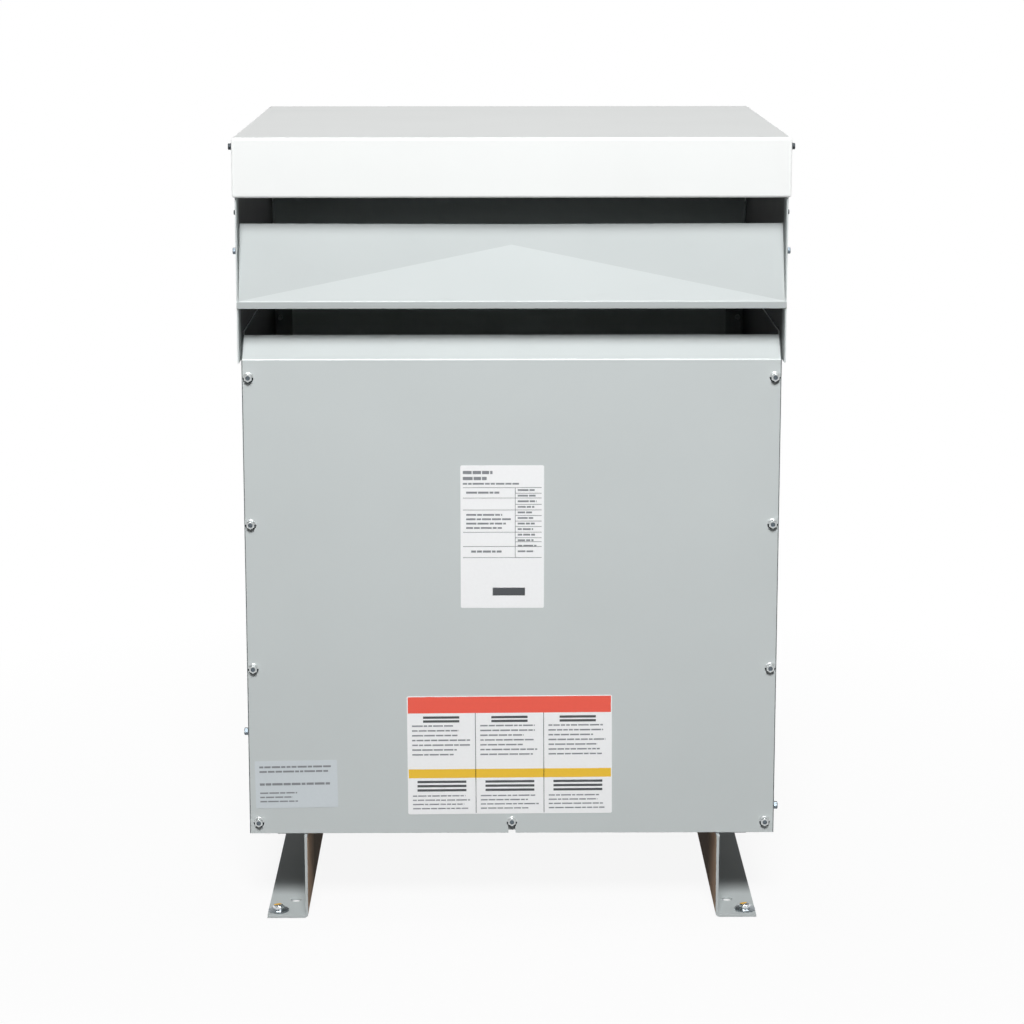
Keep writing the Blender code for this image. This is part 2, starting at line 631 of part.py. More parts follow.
def make_panel_bolts(holder, zinc):
    """Hex washer-head bolts of the front panel."""
    for name, (x, rise) in panel_bolt_places().items():
        bolt = washer_head_bolt(BOLT_SHANK, BOLT_LENGTH, BOLT_COLLAR, BOLT_FLATS, BOLT_HEAD)
        place(bolt, f"panel_bolt_{name}", zinc, (x, -GAP, rise), HEAD_TO_FRONT, holder)


def make_core(steel):
    """Laminated core: three legs stacked in one with the lower yoke, and the yoke that closes the top."""
    leg_top = WINDOW_LEVEL + WINDOW_HEIGHT
    half_stack = CORE_STACK / 2
    outline = [(-CORE_X, CORE_LEVEL), (CORE_X, CORE_LEVEL), (CORE_X, leg_top)]
    for window_x in (LEG_PITCH / 2, -LEG_PITCH / 2):
        right = window_x + WINDOW_WIDTH / 2
        left = window_x - WINDOW_WIDTH / 2
        outline += [(right, leg_top), (right, WINDOW_LEVEL), (left, WINDOW_LEVEL), (left, leg_top)]
    outline.append((-CORE_X, leg_top))
    place(prism(outline, half_stack), "core_legs", steel)
    yoke = box((-CORE_X, -half_stack, TOP_YOKE_LEVEL), (CORE_X, half_stack, CORE_TOP))
    place(yoke, "core_top_yoke", steel)


def make_windings(inner_wrap, outer_wrap):
    """On each leg an inner low-voltage winding with duct spacers, and a high-voltage winding round it."""
    bore = (LEG_WIDTH / 2 + GAP, CORE_STACK / 2 + GAP)
    lv = (bore[0] + LV_BUILD, bore[1] + LV_BUILD)
    duct = (lv[0] + DUCT, lv[1] + DUCT)
    hv = (duct[0] + HV_BUILD, duct[1] + HV_BUILD)
    height = WINDING_TOP - WINDING_LEVEL
    for leg, x in LEGS.items():
        mesh = loft([
            rounded_rectangle(*lv, LV_CORNER, 0),
            rounded_rectangle(*lv, LV_CORNER, height),
            rounded_rectangle(*bore, GAP, height),
            rounded_rectangle(*bore, GAP, 0),
        ], endless=True)
        winding = place(mesh, f"{leg}_lv_winding", inner_wrap, (x, 0, WINDING_LEVEL))
        sticks = bmesh.new()
        half = STICK_WIDTH / 2
        for sign in SIDES.values():
            for across in (-STICK_PITCH / 2, STICK_PITCH / 2):
                low_y, high_y = sorted((sign * (lv[1] - STICK_ROOT), sign * (duct[1] - GAP)))
                low_x, high_x = sorted((sign * (lv[0] - STICK_ROOT), sign * (duct[0] - GAP)))
                span = (STICK_END_GAP, height - STICK_END_GAP)
                box((across - half, low_y, span[0]), (across + half, high_y, span[1]), sticks)
                box((low_x, across - half, span[0]), (high_x, across + half, span[1]), sticks)
        combine(winding, sticks, "UNION")
        shoulder = (hv[0] - HV_EDGE, hv[1] - HV_EDGE)
        mesh = loft([
            rounded_rectangle(*shoulder, HV_CORNER - HV_EDGE, 0),
            rounded_rectangle(*hv, HV_CORNER, HV_EDGE),
            rounded_rectangle(*hv, HV_CORNER, height - HV_EDGE),
            rounded_rectangle(*shoulder, HV_CORNER - HV_EDGE, height),
            rounded_rectangle(*duct, LV_CORNER, height),
            rounded_rectangle(*duct, LV_CORNER, 0),
        ], endless=True)
        place(mesh, f"{leg}_hv_winding", outer_wrap, (x, 0, WINDING_LEVEL))


def make_clamps(paint, zinc):
    """Channels on the lower yoke and angles on the upper one, drawn together by bolts past the core."""
    outer = CLAMP_Y + CLAMP_FLANGE
    lower = fold(
        [(-outer, CORE_LEVEL), (-CLAMP_Y, CORE_LEVEL), (-CLAMP_Y, WINDOW_LEVEL), (-outer, WINDOW_LEVEL)],
        CLAMP_SHEET)
    upper = fold([(-CLAMP_Y, TOP_YOKE_LEVEL), (-CLAMP_Y, CORE_TOP), (-outer, CORE_TOP)], CLAMP_SHEET)
    rows = {
        "lower": (lower, LOWER_CLAMP_X, CORE_LEVEL + YOKE_HEIGHT / 2),
        "upper": (upper, UPPER_CLAMP_X, TOP_YOKE_LEVEL + YOKE_HEIGHT / 2),
    }
    grip = CLAMP_Y + CLAMP_SHEET + GAP
    for row, (section, half_x, bolt_level) in rows.items():
        bolt_x = (CORE_X + half_x) / 2
        for end_name, end in ENDS.items():
            mesh = sweep(section, "X", -half_x, half_x)
            clamp = place(mesh, f"{row}_{end_name}_clamp", paint, rotation=HALF_TURN[-end])
            holes = bmesh.new()
            for sign in SIDES.values():
                bolt_hole = (sign * bolt_x, -CLAMP_Y, bolt_level)
                rod("Y", CLAMP_BOLT_SHANK + HOLE_CLEARANCE, bolt_hole, 2 * CLAMP_SHEET, holes)
            combine(clamp, holes, "DIFFERENCE")
        for side, sign in SIDES.items():
            bolt = loft([
                hexagon(CLAMP_BOLT_FLATS, -grip - CLAMP_BOLT_HEAD),
                hexagon(CLAMP_BOLT_FLATS, -grip),
                circle(CLAMP_BOLT_SHANK, -grip, BOLT_SIDES),
                circle(CLAMP_BOLT_SHANK, grip, BOLT_SIDES),
                hexagon(CLAMP_BOLT_FLATS, grip),
                hexagon(CLAMP_BOLT_FLATS, grip + CLAMP_BOLT_HEAD),
            ])
            place(bolt, f"{row}_{side}_clamp_bolt", zinc, (sign * bolt_x, 0, bolt_level), HEAD_TO_FRONT)


def make_isolators(rubber):
    """Waisted rubber mounts between the base pan and the lower clamps, over the feet."""
    waist_top = ISOLATOR_HEIGHT - ISOLATOR_PLATE
    for end_name, end in ENDS.items():
        for side, sign in SIDES.items():
            mount = loft([
                circle(ISOLATOR_RADIUS, 0, ROUND_SIDES),
                circle(ISOLATOR_RADIUS, ISOLATOR_PLATE, ROUND_SIDES),
                circle(ISOLATOR_WAIST, ISOLATOR_HEIGHT / 2, ROUND_SIDES),
                circle(ISOLATOR_RADIUS, waist_top, ROUND_SIDES),
                circle(ISOLATOR_RADIUS, ISOLATOR_HEIGHT, ROUND_SIDES),
            ])
            spot = (sign * ISOLATOR_X, end * ISOLATOR_Y, FLOOR_TOP + GAP)
            place(mount, f"isolator_{end_name}_{side}", rubber, spot)


def make_terminals(board_finish, bar_metal, copper):
    """Board and high-voltage straps on the upper clamp, low-voltage bars, neutral bar and ground bar."""
    board_front = -(HV_Y - STRAP_BEND)
    place(
        box((-CORE_X, board_front, CORE_TOP + GAP), (CORE_X, -CLAMP_Y, BOARD_TOP)),
        "terminal_board", board_finish)
    strap_y = -(HV_Y + GAP)
    strap_end = -(CLAMP_Y + CLAMP_SHEET)
    pad_level = BOARD_TOP + GAP
    strap = fold(
        [(strap_y, BOARD_TOP - HV_STRAP_DROP), (strap_y, pad_level), (strap_end, pad_level)],
        HV_STRAP_THICKNESS, STRAP_BEND)
    bar_foot = WINDING_TOP + GAP
    bar_level = bar_foot + LV_BAR_RISE
    bar_end = -(BAR_Y + LV_BAR_REACH)
    bar = fold(
        [(-BAR_Y, bar_foot), (-BAR_Y, bar_level), (bar_end, bar_level)],
        LV_BAR_THICKNESS, STRAP_BEND)
    for leg, leg_x in LEGS.items():
        strap_mesh = sweep(strap, "X", -HV_STRAP_WIDTH / 2, HV_STRAP_WIDTH / 2)
        terminal = place(strap_mesh, f"{leg}_hv_terminal", bar_metal, (leg_x + HV_STRAP_OFFSET, 0, 0))
        pad_middle = (0, (strap_y + strap_end) / 2, pad_level)
        combine(terminal, rod("Z", LUG_HOLE_RADIUS, pad_middle, 2 * HV_STRAP_THICKNESS), "DIFFERENCE")
        bar_mesh = sweep(bar, "X", -LV_BAR_WIDTH / 2, LV_BAR_WIDTH / 2)
        lv_bar = place(bar_mesh, f"{leg}_lv_bar", bar_metal, (leg_x - LV_BAR_OFFSET, 0, 0))
        holes = bmesh.new()
        for hole_y in (bar_end + LUG_HOLE_EDGE, bar_end + LUG_HOLE_EDGE + LUG_HOLE_PITCH):
            rod("Z", LUG_HOLE_RADIUS, (0, hole_y, bar_level), 2 * LV_BAR_THICKNESS, holes)
        combine(lv_bar, holes, "DIFFERENCE")
    neutral_x = LEG_PITCH + NEUTRAL_BAR_OVERHANG
    neutral_corner = (neutral_x, BAR_Y + NEUTRAL_BAR_THICKNESS, bar_foot + NEUTRAL_BAR_HEIGHT)
    place(box((-neutral_x, BAR_Y, bar_foot), neutral_corner), "neutral_bar", bar_metal)
    ground_x = -(BASE_X - BASE_SHEET - GROUND_BAR_SIDE - GROUND_BAR_LENGTH / 2)
    ground_y = BASE_Y - BASE_SHEET - GROUND_BAR_INSET - GROUND_BAR_WIDTH / 2
    ground_half = (GROUND_BAR_LENGTH / 2, GROUND_BAR_WIDTH / 2)
    ground = place(
        box((-ground_half[0], -ground_half[1], 0), (*ground_half, GROUND_BAR_THICKNESS)),
        "ground_bar", copper, (ground_x, ground_y, FLOOR_TOP + GAP))
    holes = bmesh.new()
    for sign in SIDES.values():
        hole_x = sign * (ground_half[0] - LUG_HOLE_EDGE)
        rod("Z", LUG_HOLE_RADIUS, (hole_x, 0, 0), 2 * GROUND_BAR_THICKNESS, holes)
    combine(ground, holes, "DIFFERENCE")


for leftover in list(bpy.data.objects):
    bpy.data.objects.remove(leftover)

body_paint = finish("body_paint", "C4CACA", 0.45, 0.0)
hood_paint = finish("hood_paint", "E4E7E6", 0.45, 0.0)
foot_paint = finish("foot_paint", "B4BABA", 0.50, 0.0)
zinc_plate = finish("zinc_plate", "B9BEC3", 0.35, 1.0)
core_steel = finish("core_steel", "54575A", 0.55, 0.8)
foil_wrap = finish("foil_wrap", "C9B48C", 0.60, 0.0)
varnish_wrap = finish("varnish_wrap", "6E4526", 0.40, 0.0)
clamp_paint = finish("clamp_paint", "3A3D40", 0.50, 0.0)
isolator_rubber = finish("isolator_rubber", "1E1F20", 0.80, 0.0)
board_laminate = finish("board_laminate", "8C2F24", 0.55, 0.0)
bar_aluminium = finish("bar_aluminium", "C8CACB", 0.40, 1.0)
bar_copper = finish("bar_copper", "B8734A", 0.40, 1.0)

make_feet(foot_paint)
make_hold_downs(zinc_plate)
make_base_pan(body_paint)
make_side_panels(body_paint)
make_vent_cheeks(body_paint)
make_deflectors(body_paint)
make_hood(hood_paint, zinc_plate)
make_panel_bolts(make_panel("front", body_paint), zinc_plate)
make_panel("rear", body_paint)
make_core(core_steel)
make_windings(foil_wrap, varnish_wrap)
make_clamps(clamp_paint, zinc_plate)
make_isolators(isolator_rubber)
make_terminals(board_laminate, bar_aluminium, bar_copper)
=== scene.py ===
import json
import math
import random

import bmesh
import bpy
from mathutils import Matrix, Vector

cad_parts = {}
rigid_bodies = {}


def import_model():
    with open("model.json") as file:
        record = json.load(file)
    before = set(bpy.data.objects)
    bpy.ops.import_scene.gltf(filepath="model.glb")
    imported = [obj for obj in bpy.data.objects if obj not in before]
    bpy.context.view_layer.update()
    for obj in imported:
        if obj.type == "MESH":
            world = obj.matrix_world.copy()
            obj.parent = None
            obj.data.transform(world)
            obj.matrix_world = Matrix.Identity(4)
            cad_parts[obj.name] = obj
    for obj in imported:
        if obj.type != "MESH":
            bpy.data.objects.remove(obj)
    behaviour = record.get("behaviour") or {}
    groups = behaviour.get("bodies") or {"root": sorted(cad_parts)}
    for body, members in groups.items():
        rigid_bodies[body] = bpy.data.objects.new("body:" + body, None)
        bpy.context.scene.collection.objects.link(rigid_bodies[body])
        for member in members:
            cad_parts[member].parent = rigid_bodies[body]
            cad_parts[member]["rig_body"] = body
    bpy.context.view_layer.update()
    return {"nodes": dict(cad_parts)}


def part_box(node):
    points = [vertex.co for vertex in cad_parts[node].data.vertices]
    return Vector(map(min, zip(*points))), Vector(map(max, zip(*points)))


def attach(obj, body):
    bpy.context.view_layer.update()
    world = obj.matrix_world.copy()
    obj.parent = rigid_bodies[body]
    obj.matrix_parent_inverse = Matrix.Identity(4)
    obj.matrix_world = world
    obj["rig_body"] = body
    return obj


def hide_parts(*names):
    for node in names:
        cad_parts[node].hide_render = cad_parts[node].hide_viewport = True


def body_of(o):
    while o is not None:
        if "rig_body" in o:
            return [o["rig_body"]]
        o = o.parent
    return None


for leftover in list(bpy.data.objects):
    bpy.data.objects.remove(leftover)
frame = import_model()


# Feet: two channels folded from heavy steel sheet, front to back under the cabinet.
# They are sprayed and baked in the cabinet's grey, and anchor through a hole near each end.
# Both are painted darker where they run under the cabinet, as painted shade, and the side of each web that
# faces the other foot is painted brown, as a painted reflection.
SIDES = {"left": -1, "right": 1}
ENDS = {"front": -1, "rear": 1}
FOOT_EDGE = 0.0007            # how far the sheared edges are rounded
LOOKS = 0.9                   # a face looks along an axis when its normal has this share of it
MIDDLE = Vector((0, 0, 0.6))  # of the cabinet
SEAM = 0.00002                # points of a solid closer than this are one
RIM = 0.0012                  # width of the painted shade along a panel's sides
BEND_AREA = 0.002             # a facet of a bend is smaller than this


def linear(colour):
    """Linear RGBA of an sRGB colour written as RRGGBB."""
    channels = [int(colour[at:at + 2], 16) / 255 for at in (0, 2, 4)]
    values = [c / 12.92 if c <= 0.04045 else ((c + 0.055) / 1.055) ** 2.4 for c in channels]
    return (*values, 1.0)


def add(tree, kind, sockets=None, **settings):
    """Adds a node; each socket takes a value, or the output that feeds it."""
    node = tree.nodes.new(kind)
    for name, value in settings.items():
        setattr(node, name, value)
    for name, value in (sockets or {}).items():
        socket = next(s for at, s in enumerate(node.inputs) if name in (at, s.identifier, s.name))
        if isinstance(value, bpy.types.NodeSocket):
            tree.links.new(value, socket)
        else:
            socket.default_value = value
    return node


def blank(name):
    """New material with no nodes yet."""
    material = bpy.data.materials.new(name)
    material.use_nodes = True
    material.node_tree.nodes.clear()
    return material


def enamel(name, colour, roughness, top_shade=0.0, painted_shade=0.0, fade=(0.16, 0.21), shine=0.3):
    """Enamel, sprayed on sheet steel and baked: an even satin colour.

    The eye gets a tone that drifts slightly over a hand's width, duller and glossier patches, and
    an orange peel. The real peel is about 1 mm across and is drawn at 5 mm, so that it shows.
    Two shares of painted shade darken the colour: the first what faces up, the second what lies near the
    middle along Y, fading out between two distances from the middle.
    """
    drift_size = 0.120
    drift_share = 0.03
    smudge_size = 0.060
    smudge_share = 0.07
    peel_size = 0.005
    facing_up = (0.80, 0.98)
    material = blank(name)
    tree = material.node_tree
    spot = add(tree, "ShaderNodeTexCoord").outputs["Object"]
    drift = add(tree, "ShaderNodeTexNoise", {"Vector": spot, "Scale": 1 / drift_size, "Detail": 4.0})
    tone = add(tree, "ShaderNodeMapRange", {
        "Value": drift.outputs["Fac"], "To Min": 1 - drift_share, "To Max": 1 + drift_share})
    tone = tone.outputs["Result"]
    painted_shades = []
    # painted shade on what faces up
    if top_shade:
        facing = add(tree, "ShaderNodeNewGeometry").outputs["True Normal"]
        rise = add(tree, "ShaderNodeSeparateXYZ", {"Vector": facing}).outputs["Z"]
        painted_shades.append(add(tree, "ShaderNodeMapRange", {
            "Value": rise, "From Min": facing_up[0], "From Max": facing_up[1],
            "To Min": 1.0, "To Max": 1.0 - top_shade}))
    # painted shade near the middle along Y
    if painted_shade:
        along = add(tree, "ShaderNodeSeparateXYZ", {"Vector": spot}).outputs["Y"]
        reach = add(tree, "ShaderNodeMath", {0: along}, operation="ABSOLUTE").outputs["Value"]
        painted_shades.append(add(tree, "ShaderNodeMapRange", {
            "Value": reach, "From Min": fade[0], "From Max": fade[1], "To Min": 1.0 - painted_shade, "To Max": 1.0}))
    for film in painted_shades:
        product = add(tree, "ShaderNodeMath", {0: tone, 1: film.outputs["Result"]}, operation="MULTIPLY")
        tone = product.outputs["Value"]
    shade = add(tree, "ShaderNodeHueSaturation", {"Color": linear(colour), "Value": tone})
    smudge = add(tree, "ShaderNodeTexNoise", {"Vector": spot, "Scale": 1 / smudge_size, "Detail": 5.0})
    gloss = add(tree, "ShaderNodeMapRange", {
        "Value": smudge.outputs["Fac"],
        "To Min": roughness - smudge_share, "To Max": roughness + smudge_share})
    peel = add(tree, "ShaderNodeTexNoise", {"Vector": spot, "Scale": 1 / peel_size, "Detail": 1.0})
    bump = add(tree, "ShaderNodeBump", {
        "Height": peel.outputs["Fac"], "Strength": 0.10, "Distance": 0.0004})
    shader = add(tree, "ShaderNodeBsdfPrincipled", {
        "Base Color": shade.outputs["Color"], "Roughness": gloss.outputs["Result"],
        "Normal": bump.outputs["Normal"], "IOR": 1.5, "Specular IOR Level": shine})
    add(tree, "ShaderNodeOutputMaterial", {"Surface": shader.outputs["BSDF"]})
    return material


def put(mesh, name, *finishes, spot=(0, 0, 0), turn=(0, 0, 0)):
    """Makes a finished bmesh an object: rounded bends are smooth, corners and faint creases sharp."""
    faint = math.radians(6)
    corner = math.radians(50)
    bmesh.ops.recalc_face_normals(mesh, faces=mesh.faces)
    for face in mesh.faces:
        face.smooth = True
        face.material_index = min(face.material_index, len(finishes) - 1)
    for line in mesh.edges:
        line.smooth = faint < line.calc_face_angle(0) < corner
    data = bpy.data.meshes.new(name)
    mesh.to_mesh(data)
    mesh.free()
    for finish in finishes:
        data.materials.append(finish)
    piece = bpy.data.objects.new(name, data)
    bpy.context.scene.collection.objects.link(piece)
    piece.location = spot
    piece.rotation_euler = turn
    normals = piece.modifiers.new("flat faces", "WEIGHTED_NORMAL")
    normals.keep_sharp = True
    return piece


def stand_for(piece, *nodes):
    """Lets a piece stand for nodes, on their body, and hides the nodes."""
    first = frame["nodes"][nodes[0]]
    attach(piece, body_of(first)[0])
    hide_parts(*nodes)
    return piece


def dress(node, material, edge, rim=None, inside=None, fold=None, ground=0.0):
    """Stands a copy of a node's solid in for it, with joined facets and its corners broken by edge.

    A rim finish goes along the sides, an inside finish on what faces the middle, and a fold finish round
    the bends. The four lower corners can be ground round.
    """
    flat = math.radians(0.3)
    faint = math.radians(3)
    bend = math.radians(40)
    solid = frame["nodes"][node].data
    mesh = bmesh.new()
    points = [mesh.verts.new(vertex.co) for vertex in solid.vertices]
    for facet in solid.polygons:
        mesh.faces.new([points[at] for at in facet.vertices])
    bmesh.ops.remove_doubles(mesh, verts=mesh.verts, dist=SEAM)
    bmesh.ops.dissolve_limit(mesh, angle_limit=flat, verts=mesh.verts, edges=mesh.edges)
    bmesh.ops.recalc_face_normals(mesh, faces=mesh.faces)
    finishes = [material]
    if inside:
        for face in mesh.faces:
            looks_in = face.normal.dot(face.calc_center_median() - MIDDLE) < 0
            face.material_index = int(looks_in)
        finishes.append(inside)
    if fold:
        for face in mesh.faces:
            turns = [line for line in face.edges if faint < line.calc_face_angle(0) < bend]
            if turns and face.calc_area() < BEND_AREA:
                face.material_index = len(finishes)
        finishes.append(fold)
    if rim:
        low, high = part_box(node)
        for x in (low.x + RIM, high.x - RIM):
            whole = [*mesh.verts, *mesh.edges, *mesh.faces]
            bmesh.ops.bisect_plane(mesh, geom=whole, plane_co=(x, 0, 0), plane_no=(1, 0, 0))
        for face in mesh.faces:
            if not low.x + RIM < face.calc_center_median().x < high.x - RIM:
                face.material_index = len(finishes)
        finishes.append(rim)
    if ground:
        low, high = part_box(node)
        feet = [Vector((x, y, low.z)) for x in (low.x, high.x) for y in (low.y, high.y)]
        tips = [tip for tip in mesh.verts if any((tip.co - foot).length < SEAM for foot in feet)]
        bmesh.ops.bevel(mesh, geom=tips, offset=ground, segments=3, profile=0.5, affect="VERTICES")
    corners = [line for line in mesh.edges if line.calc_face_angle(0) > bend]
    bmesh.ops.bevel(
        mesh, geom=corners, offset=edge, segments=1, profile=0.5, affect="EDGES", clamp_overlap=True)
    return stand_for(put(mesh, f"{node}_dressed", *finishes), node)


# painted shade: the feet darken where they run under the cabinet
foot_enamel = enamel("foot_enamel", "BEC4C4", 0.58, painted_shade=0.6)
# painted reflection and painted shade: brown on the inner side of each web, dark under the cabinet
brown_enamel = enamel("foot_enamel_painted_reflection", "FFDABB", 0.80, painted_shade=0.86, fade=(0.15, 0.28), shine=0.05)
for side, sign in SIDES.items():
    foot = dress(f"{side}_foot", foot_enamel, FOOT_EDGE)
    foot.data.materials.append(brown_enamel)
    for facet in foot.data.polygons:
        if facet.normal.x * sign < -LOOKS and facet.area > BEND_AREA:
            facet.material_index = 1


# Hold-downs: a hex bolt on a plain washer near each end of each foot, zinc plated.
# The fitter's dab of yellow paint on a head shows that it has been tightened.
ROUND = 48                    # sides of a turned piece
HEAD_TOP_SHARE = 0.93         # round top of a hex head, as a share of its flats
CORNER_REACH = 1 / math.cos(math.pi / 6)
SEAT = 0.0003                 # a head stands off what it bears on by the thickness of the paint
HOLD_DOWN_HEAD = 0.0052
HOLD_DOWN_TURN = math.pi / 6  # a flat faces the front
BORE_SHARE = 0.35             # of the washer's radius
SHANK_SHARE = 0.85            # of the bore's radius
MARK = (0.0100, 0.0034, 0.0005)
MARK_SHIFT = (-0.0015, 0.0030)
MARK_TURN = 0.45


def plated(name, colour, roughness):
    """Zinc plate on steel, bright from the barrel: a bluish grey metal.

    The eye gets fine spangles of lighter and darker grey and a patchy gloss. The real spangle is
    about 0.3 mm across and is drawn at 1.2 mm, so that it shows.
    """
    spangle_size = 0.0012
    haze_size = 0.006
    material = blank(name)
    tree = material.node_tree
    spot = add(tree, "ShaderNodeTexCoord").outputs["Object"]
    spangle = add(tree, "ShaderNodeTexVoronoi", {"Vector": spot, "Scale": 1 / spangle_size})
    tone = add(tree, "ShaderNodeMapRange", {
        "Value": spangle.outputs["Distance"], "To Min": 1.06, "To Max": 0.86})
    shade = add(tree, "ShaderNodeHueSaturation", {"Color": linear(colour), "Value": tone.outputs["Result"]})
    haze = add(tree, "ShaderNodeTexNoise", {"Vector": spot, "Scale": 1 / haze_size, "Detail": 3.0})
    gloss = add(tree, "ShaderNodeMapRange", {
        "Value": haze.outputs["Fac"], "To Min": roughness - 0.08, "To Max": roughness + 0.10})
    bump = add(tree, "ShaderNodeBump", {
        "Height": spangle.outputs["Distance"], "Strength": 0.15, "Distance": 0.0001})
    shader = add(tree, "ShaderNodeBsdfPrincipled", {
        "Base Color": shade.outputs["Color"], "Roughness": gloss.outputs["Result"], "Metallic": 1.0,
        "Normal": bump.outputs["Normal"]})
    add(tree, "ShaderNodeOutputMaterial", {"Surface": shader.outputs["BSDF"]})
    return material


def turned(profile, endless=False):
    """Solid about Z through rings of level, radius and flats; flats trim a ring to a hexagon."""
    mesh = bmesh.new()
    rows = []
    for level, radius, flats in profile:
        row = []
        for step in range(ROUND):
            angle = 2 * math.pi * step / ROUND
            from_flat = (angle + math.pi / 6) % (math.pi / 3) - math.pi / 6
            reach = min(radius, flats / 2 / math.cos(from_flat)) if flats else radius
            row.append(mesh.verts.new((reach * math.cos(angle), reach * math.sin(angle), level)))
        rows.append(row)
    pairs = list(zip(rows, rows[1:]))
    if endless:
        pairs.append((rows[-1], rows[0]))
    else:
        mesh.faces.new(rows[0])
        mesh.faces.new(rows[-1])
    for low, high in pairs:
        for at in range(ROUND):
            after = (at + 1) % ROUND
            mesh.faces.new((low[at], low[after], high[after], high[at]))
    return mesh


def hex_head(flats, low, high):
    """Rings of a hex head from low to high, whose corners are turned off towards the top."""
    corner = flats / 2 * CORNER_REACH
    top = flats / 2 * HEAD_TOP_SHARE
    shoulder = high - (corner - top) * math.tan(math.radians(30))
    return [(low, corner, flats), (shoulder, corner, flats), (high, top, flats)]


def dab(length, width, height):
    """Low ragged blob of paint, longest along X."""
    mesh = bmesh.new()
    rows = []
    for share, rise in ((1.0, 0.0), (0.94, 0.55), (0.70, 0.92), (0.30, 1.0)):
        row = []
        for step in range(ROUND):
            angle = 2 * math.pi * step / ROUND
            rag = 1 + 0.10 * math.sin(3 * angle + 0.6) + 0.06 * math.sin(7 * angle)
            row.append(mesh.verts.new((
                share * rag * length / 2 * math.cos(angle), share * rag * width / 2 * math.sin(angle),
                rise * height)))
        rows.append(row)
    mesh.faces.new(rows[0])
    mesh.faces.new(rows[-1])
    for low, high in zip(rows, rows[1:]):
        for at in range(ROUND):
            after = (at + 1) % ROUND
            mesh.faces.new((low[at], low[after], high[after], high[at]))
    return mesh


zinc = plated("zinc_plate_bright", "CED2D2", 0.36)
bright_zinc = plated("zinc_plate_polished", "DDE1E3", 0.20)
washer_zinc = plated("zinc_plate_dull", "A3ABB0", 0.30)
marker_paint = enamel("marker_paint", "E8B23A", 0.45)
for end in ENDS:
    for side in SIDES:
        washer = f"hold_down_washer_{end}_{side}"
        low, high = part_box(washer)
        radius = (high.x - low.x) / 2
        bore = radius * BORE_SHARE
        rim = (high.z - low.z) / 4
        mesh = turned([
            (low.z, bore, None), (low.z, radius - rim, None), (low.z + rim, radius, None),
            (high.z - rim, radius, None), (high.z, radius - rim, None), (high.z, bore, None),
        ], endless=True)
        middle = ((low.x + high.x) / 2, (low.y + high.y) / 2, 0)
        stand_for(put(mesh, f"{washer}_turned", washer_zinc, spot=middle), washer)
        bolt = f"hold_down_bolt_{end}_{side}"
        low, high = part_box(bolt)
        flats = min(high.y - low.y, high.x - low.x)
        washer_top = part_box(washer)[1].z
        head_top = washer_top + HOLD_DOWN_HEAD
        shank = bore * SHANK_SHARE
        mesh = turned([
            (low.z, shank, None), (washer_top, shank, None), *hex_head(flats, washer_top + SEAT, head_top)])
        piece = put(mesh, f"{bolt}_turned", bright_zinc, spot=middle, turn=(0, 0, HOLD_DOWN_TURN))
        stand_for(piece, bolt)
        if end == "front":
            spot = (middle[0] + MARK_SHIFT[0], middle[1] + MARK_SHIFT[1], head_top)
            mark = put(dab(*MARK), f"paint_mark_{side}", marker_paint, spot=spot, turn=(0, 0, MARK_TURN))
            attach(mark, "enclosure")


# Base pan: a shallow welded tray on the feet that carries the core on its isolators.
# It is pressed from sheet steel and painted with the cabinet.
SHEET_EDGE = 0.0004
body_enamel = enamel("body_enamel", "C8CECE", 0.46)
dress("base_pan", body_enamel, SHEET_EDGE)


# Isolators: waisted rubber mounts between the pan and the lower clamps, bonded to end plates.
# They are moulded in black rubber, which keeps the core's hum out of the cabinet.
def rubber(name, colour):
    """Moulded rubber: near black and dull, with a bloom that greys it in patches."""
    bloom_size = 0.008
    material = blank(name)
    tree = material.node_tree
    spot = add(tree, "ShaderNodeTexCoord").outputs["Object"]
    bloom = add(tree, "ShaderNodeTexNoise", {"Vector": spot, "Scale": 1 / bloom_size, "Detail": 5.0})
    tone = add(tree, "ShaderNodeMapRange", {"Value": bloom.outputs["Fac"], "To Min": 0.7, "To Max": 1.6})
    shade = add(tree, "ShaderNodeHueSaturation", {"Color": linear(colour), "Value": tone.outputs["Result"]})
    bump = add(tree, "ShaderNodeBump", {
        "Height": bloom.outputs["Fac"], "Strength": 0.2, "Distance": 0.0003})
    shader = add(tree, "ShaderNodeBsdfPrincipled", {
        "Base Color": shade.outputs["Color"], "Roughness": 0.75, "IOR": 1.52,
        "Normal": bump.outputs["Normal"]})
    add(tree, "ShaderNodeOutputMaterial", {"Surface": shader.outputs["BSDF"]})
    return material


RUBBER_EDGE = 0.0005
mount_rubber = rubber("mount_rubber", "242526")
for end in ENDS:
    for side in SIDES:
        dress(f"isolator_{end}_{side}", mount_rubber, RUBBER_EDGE)


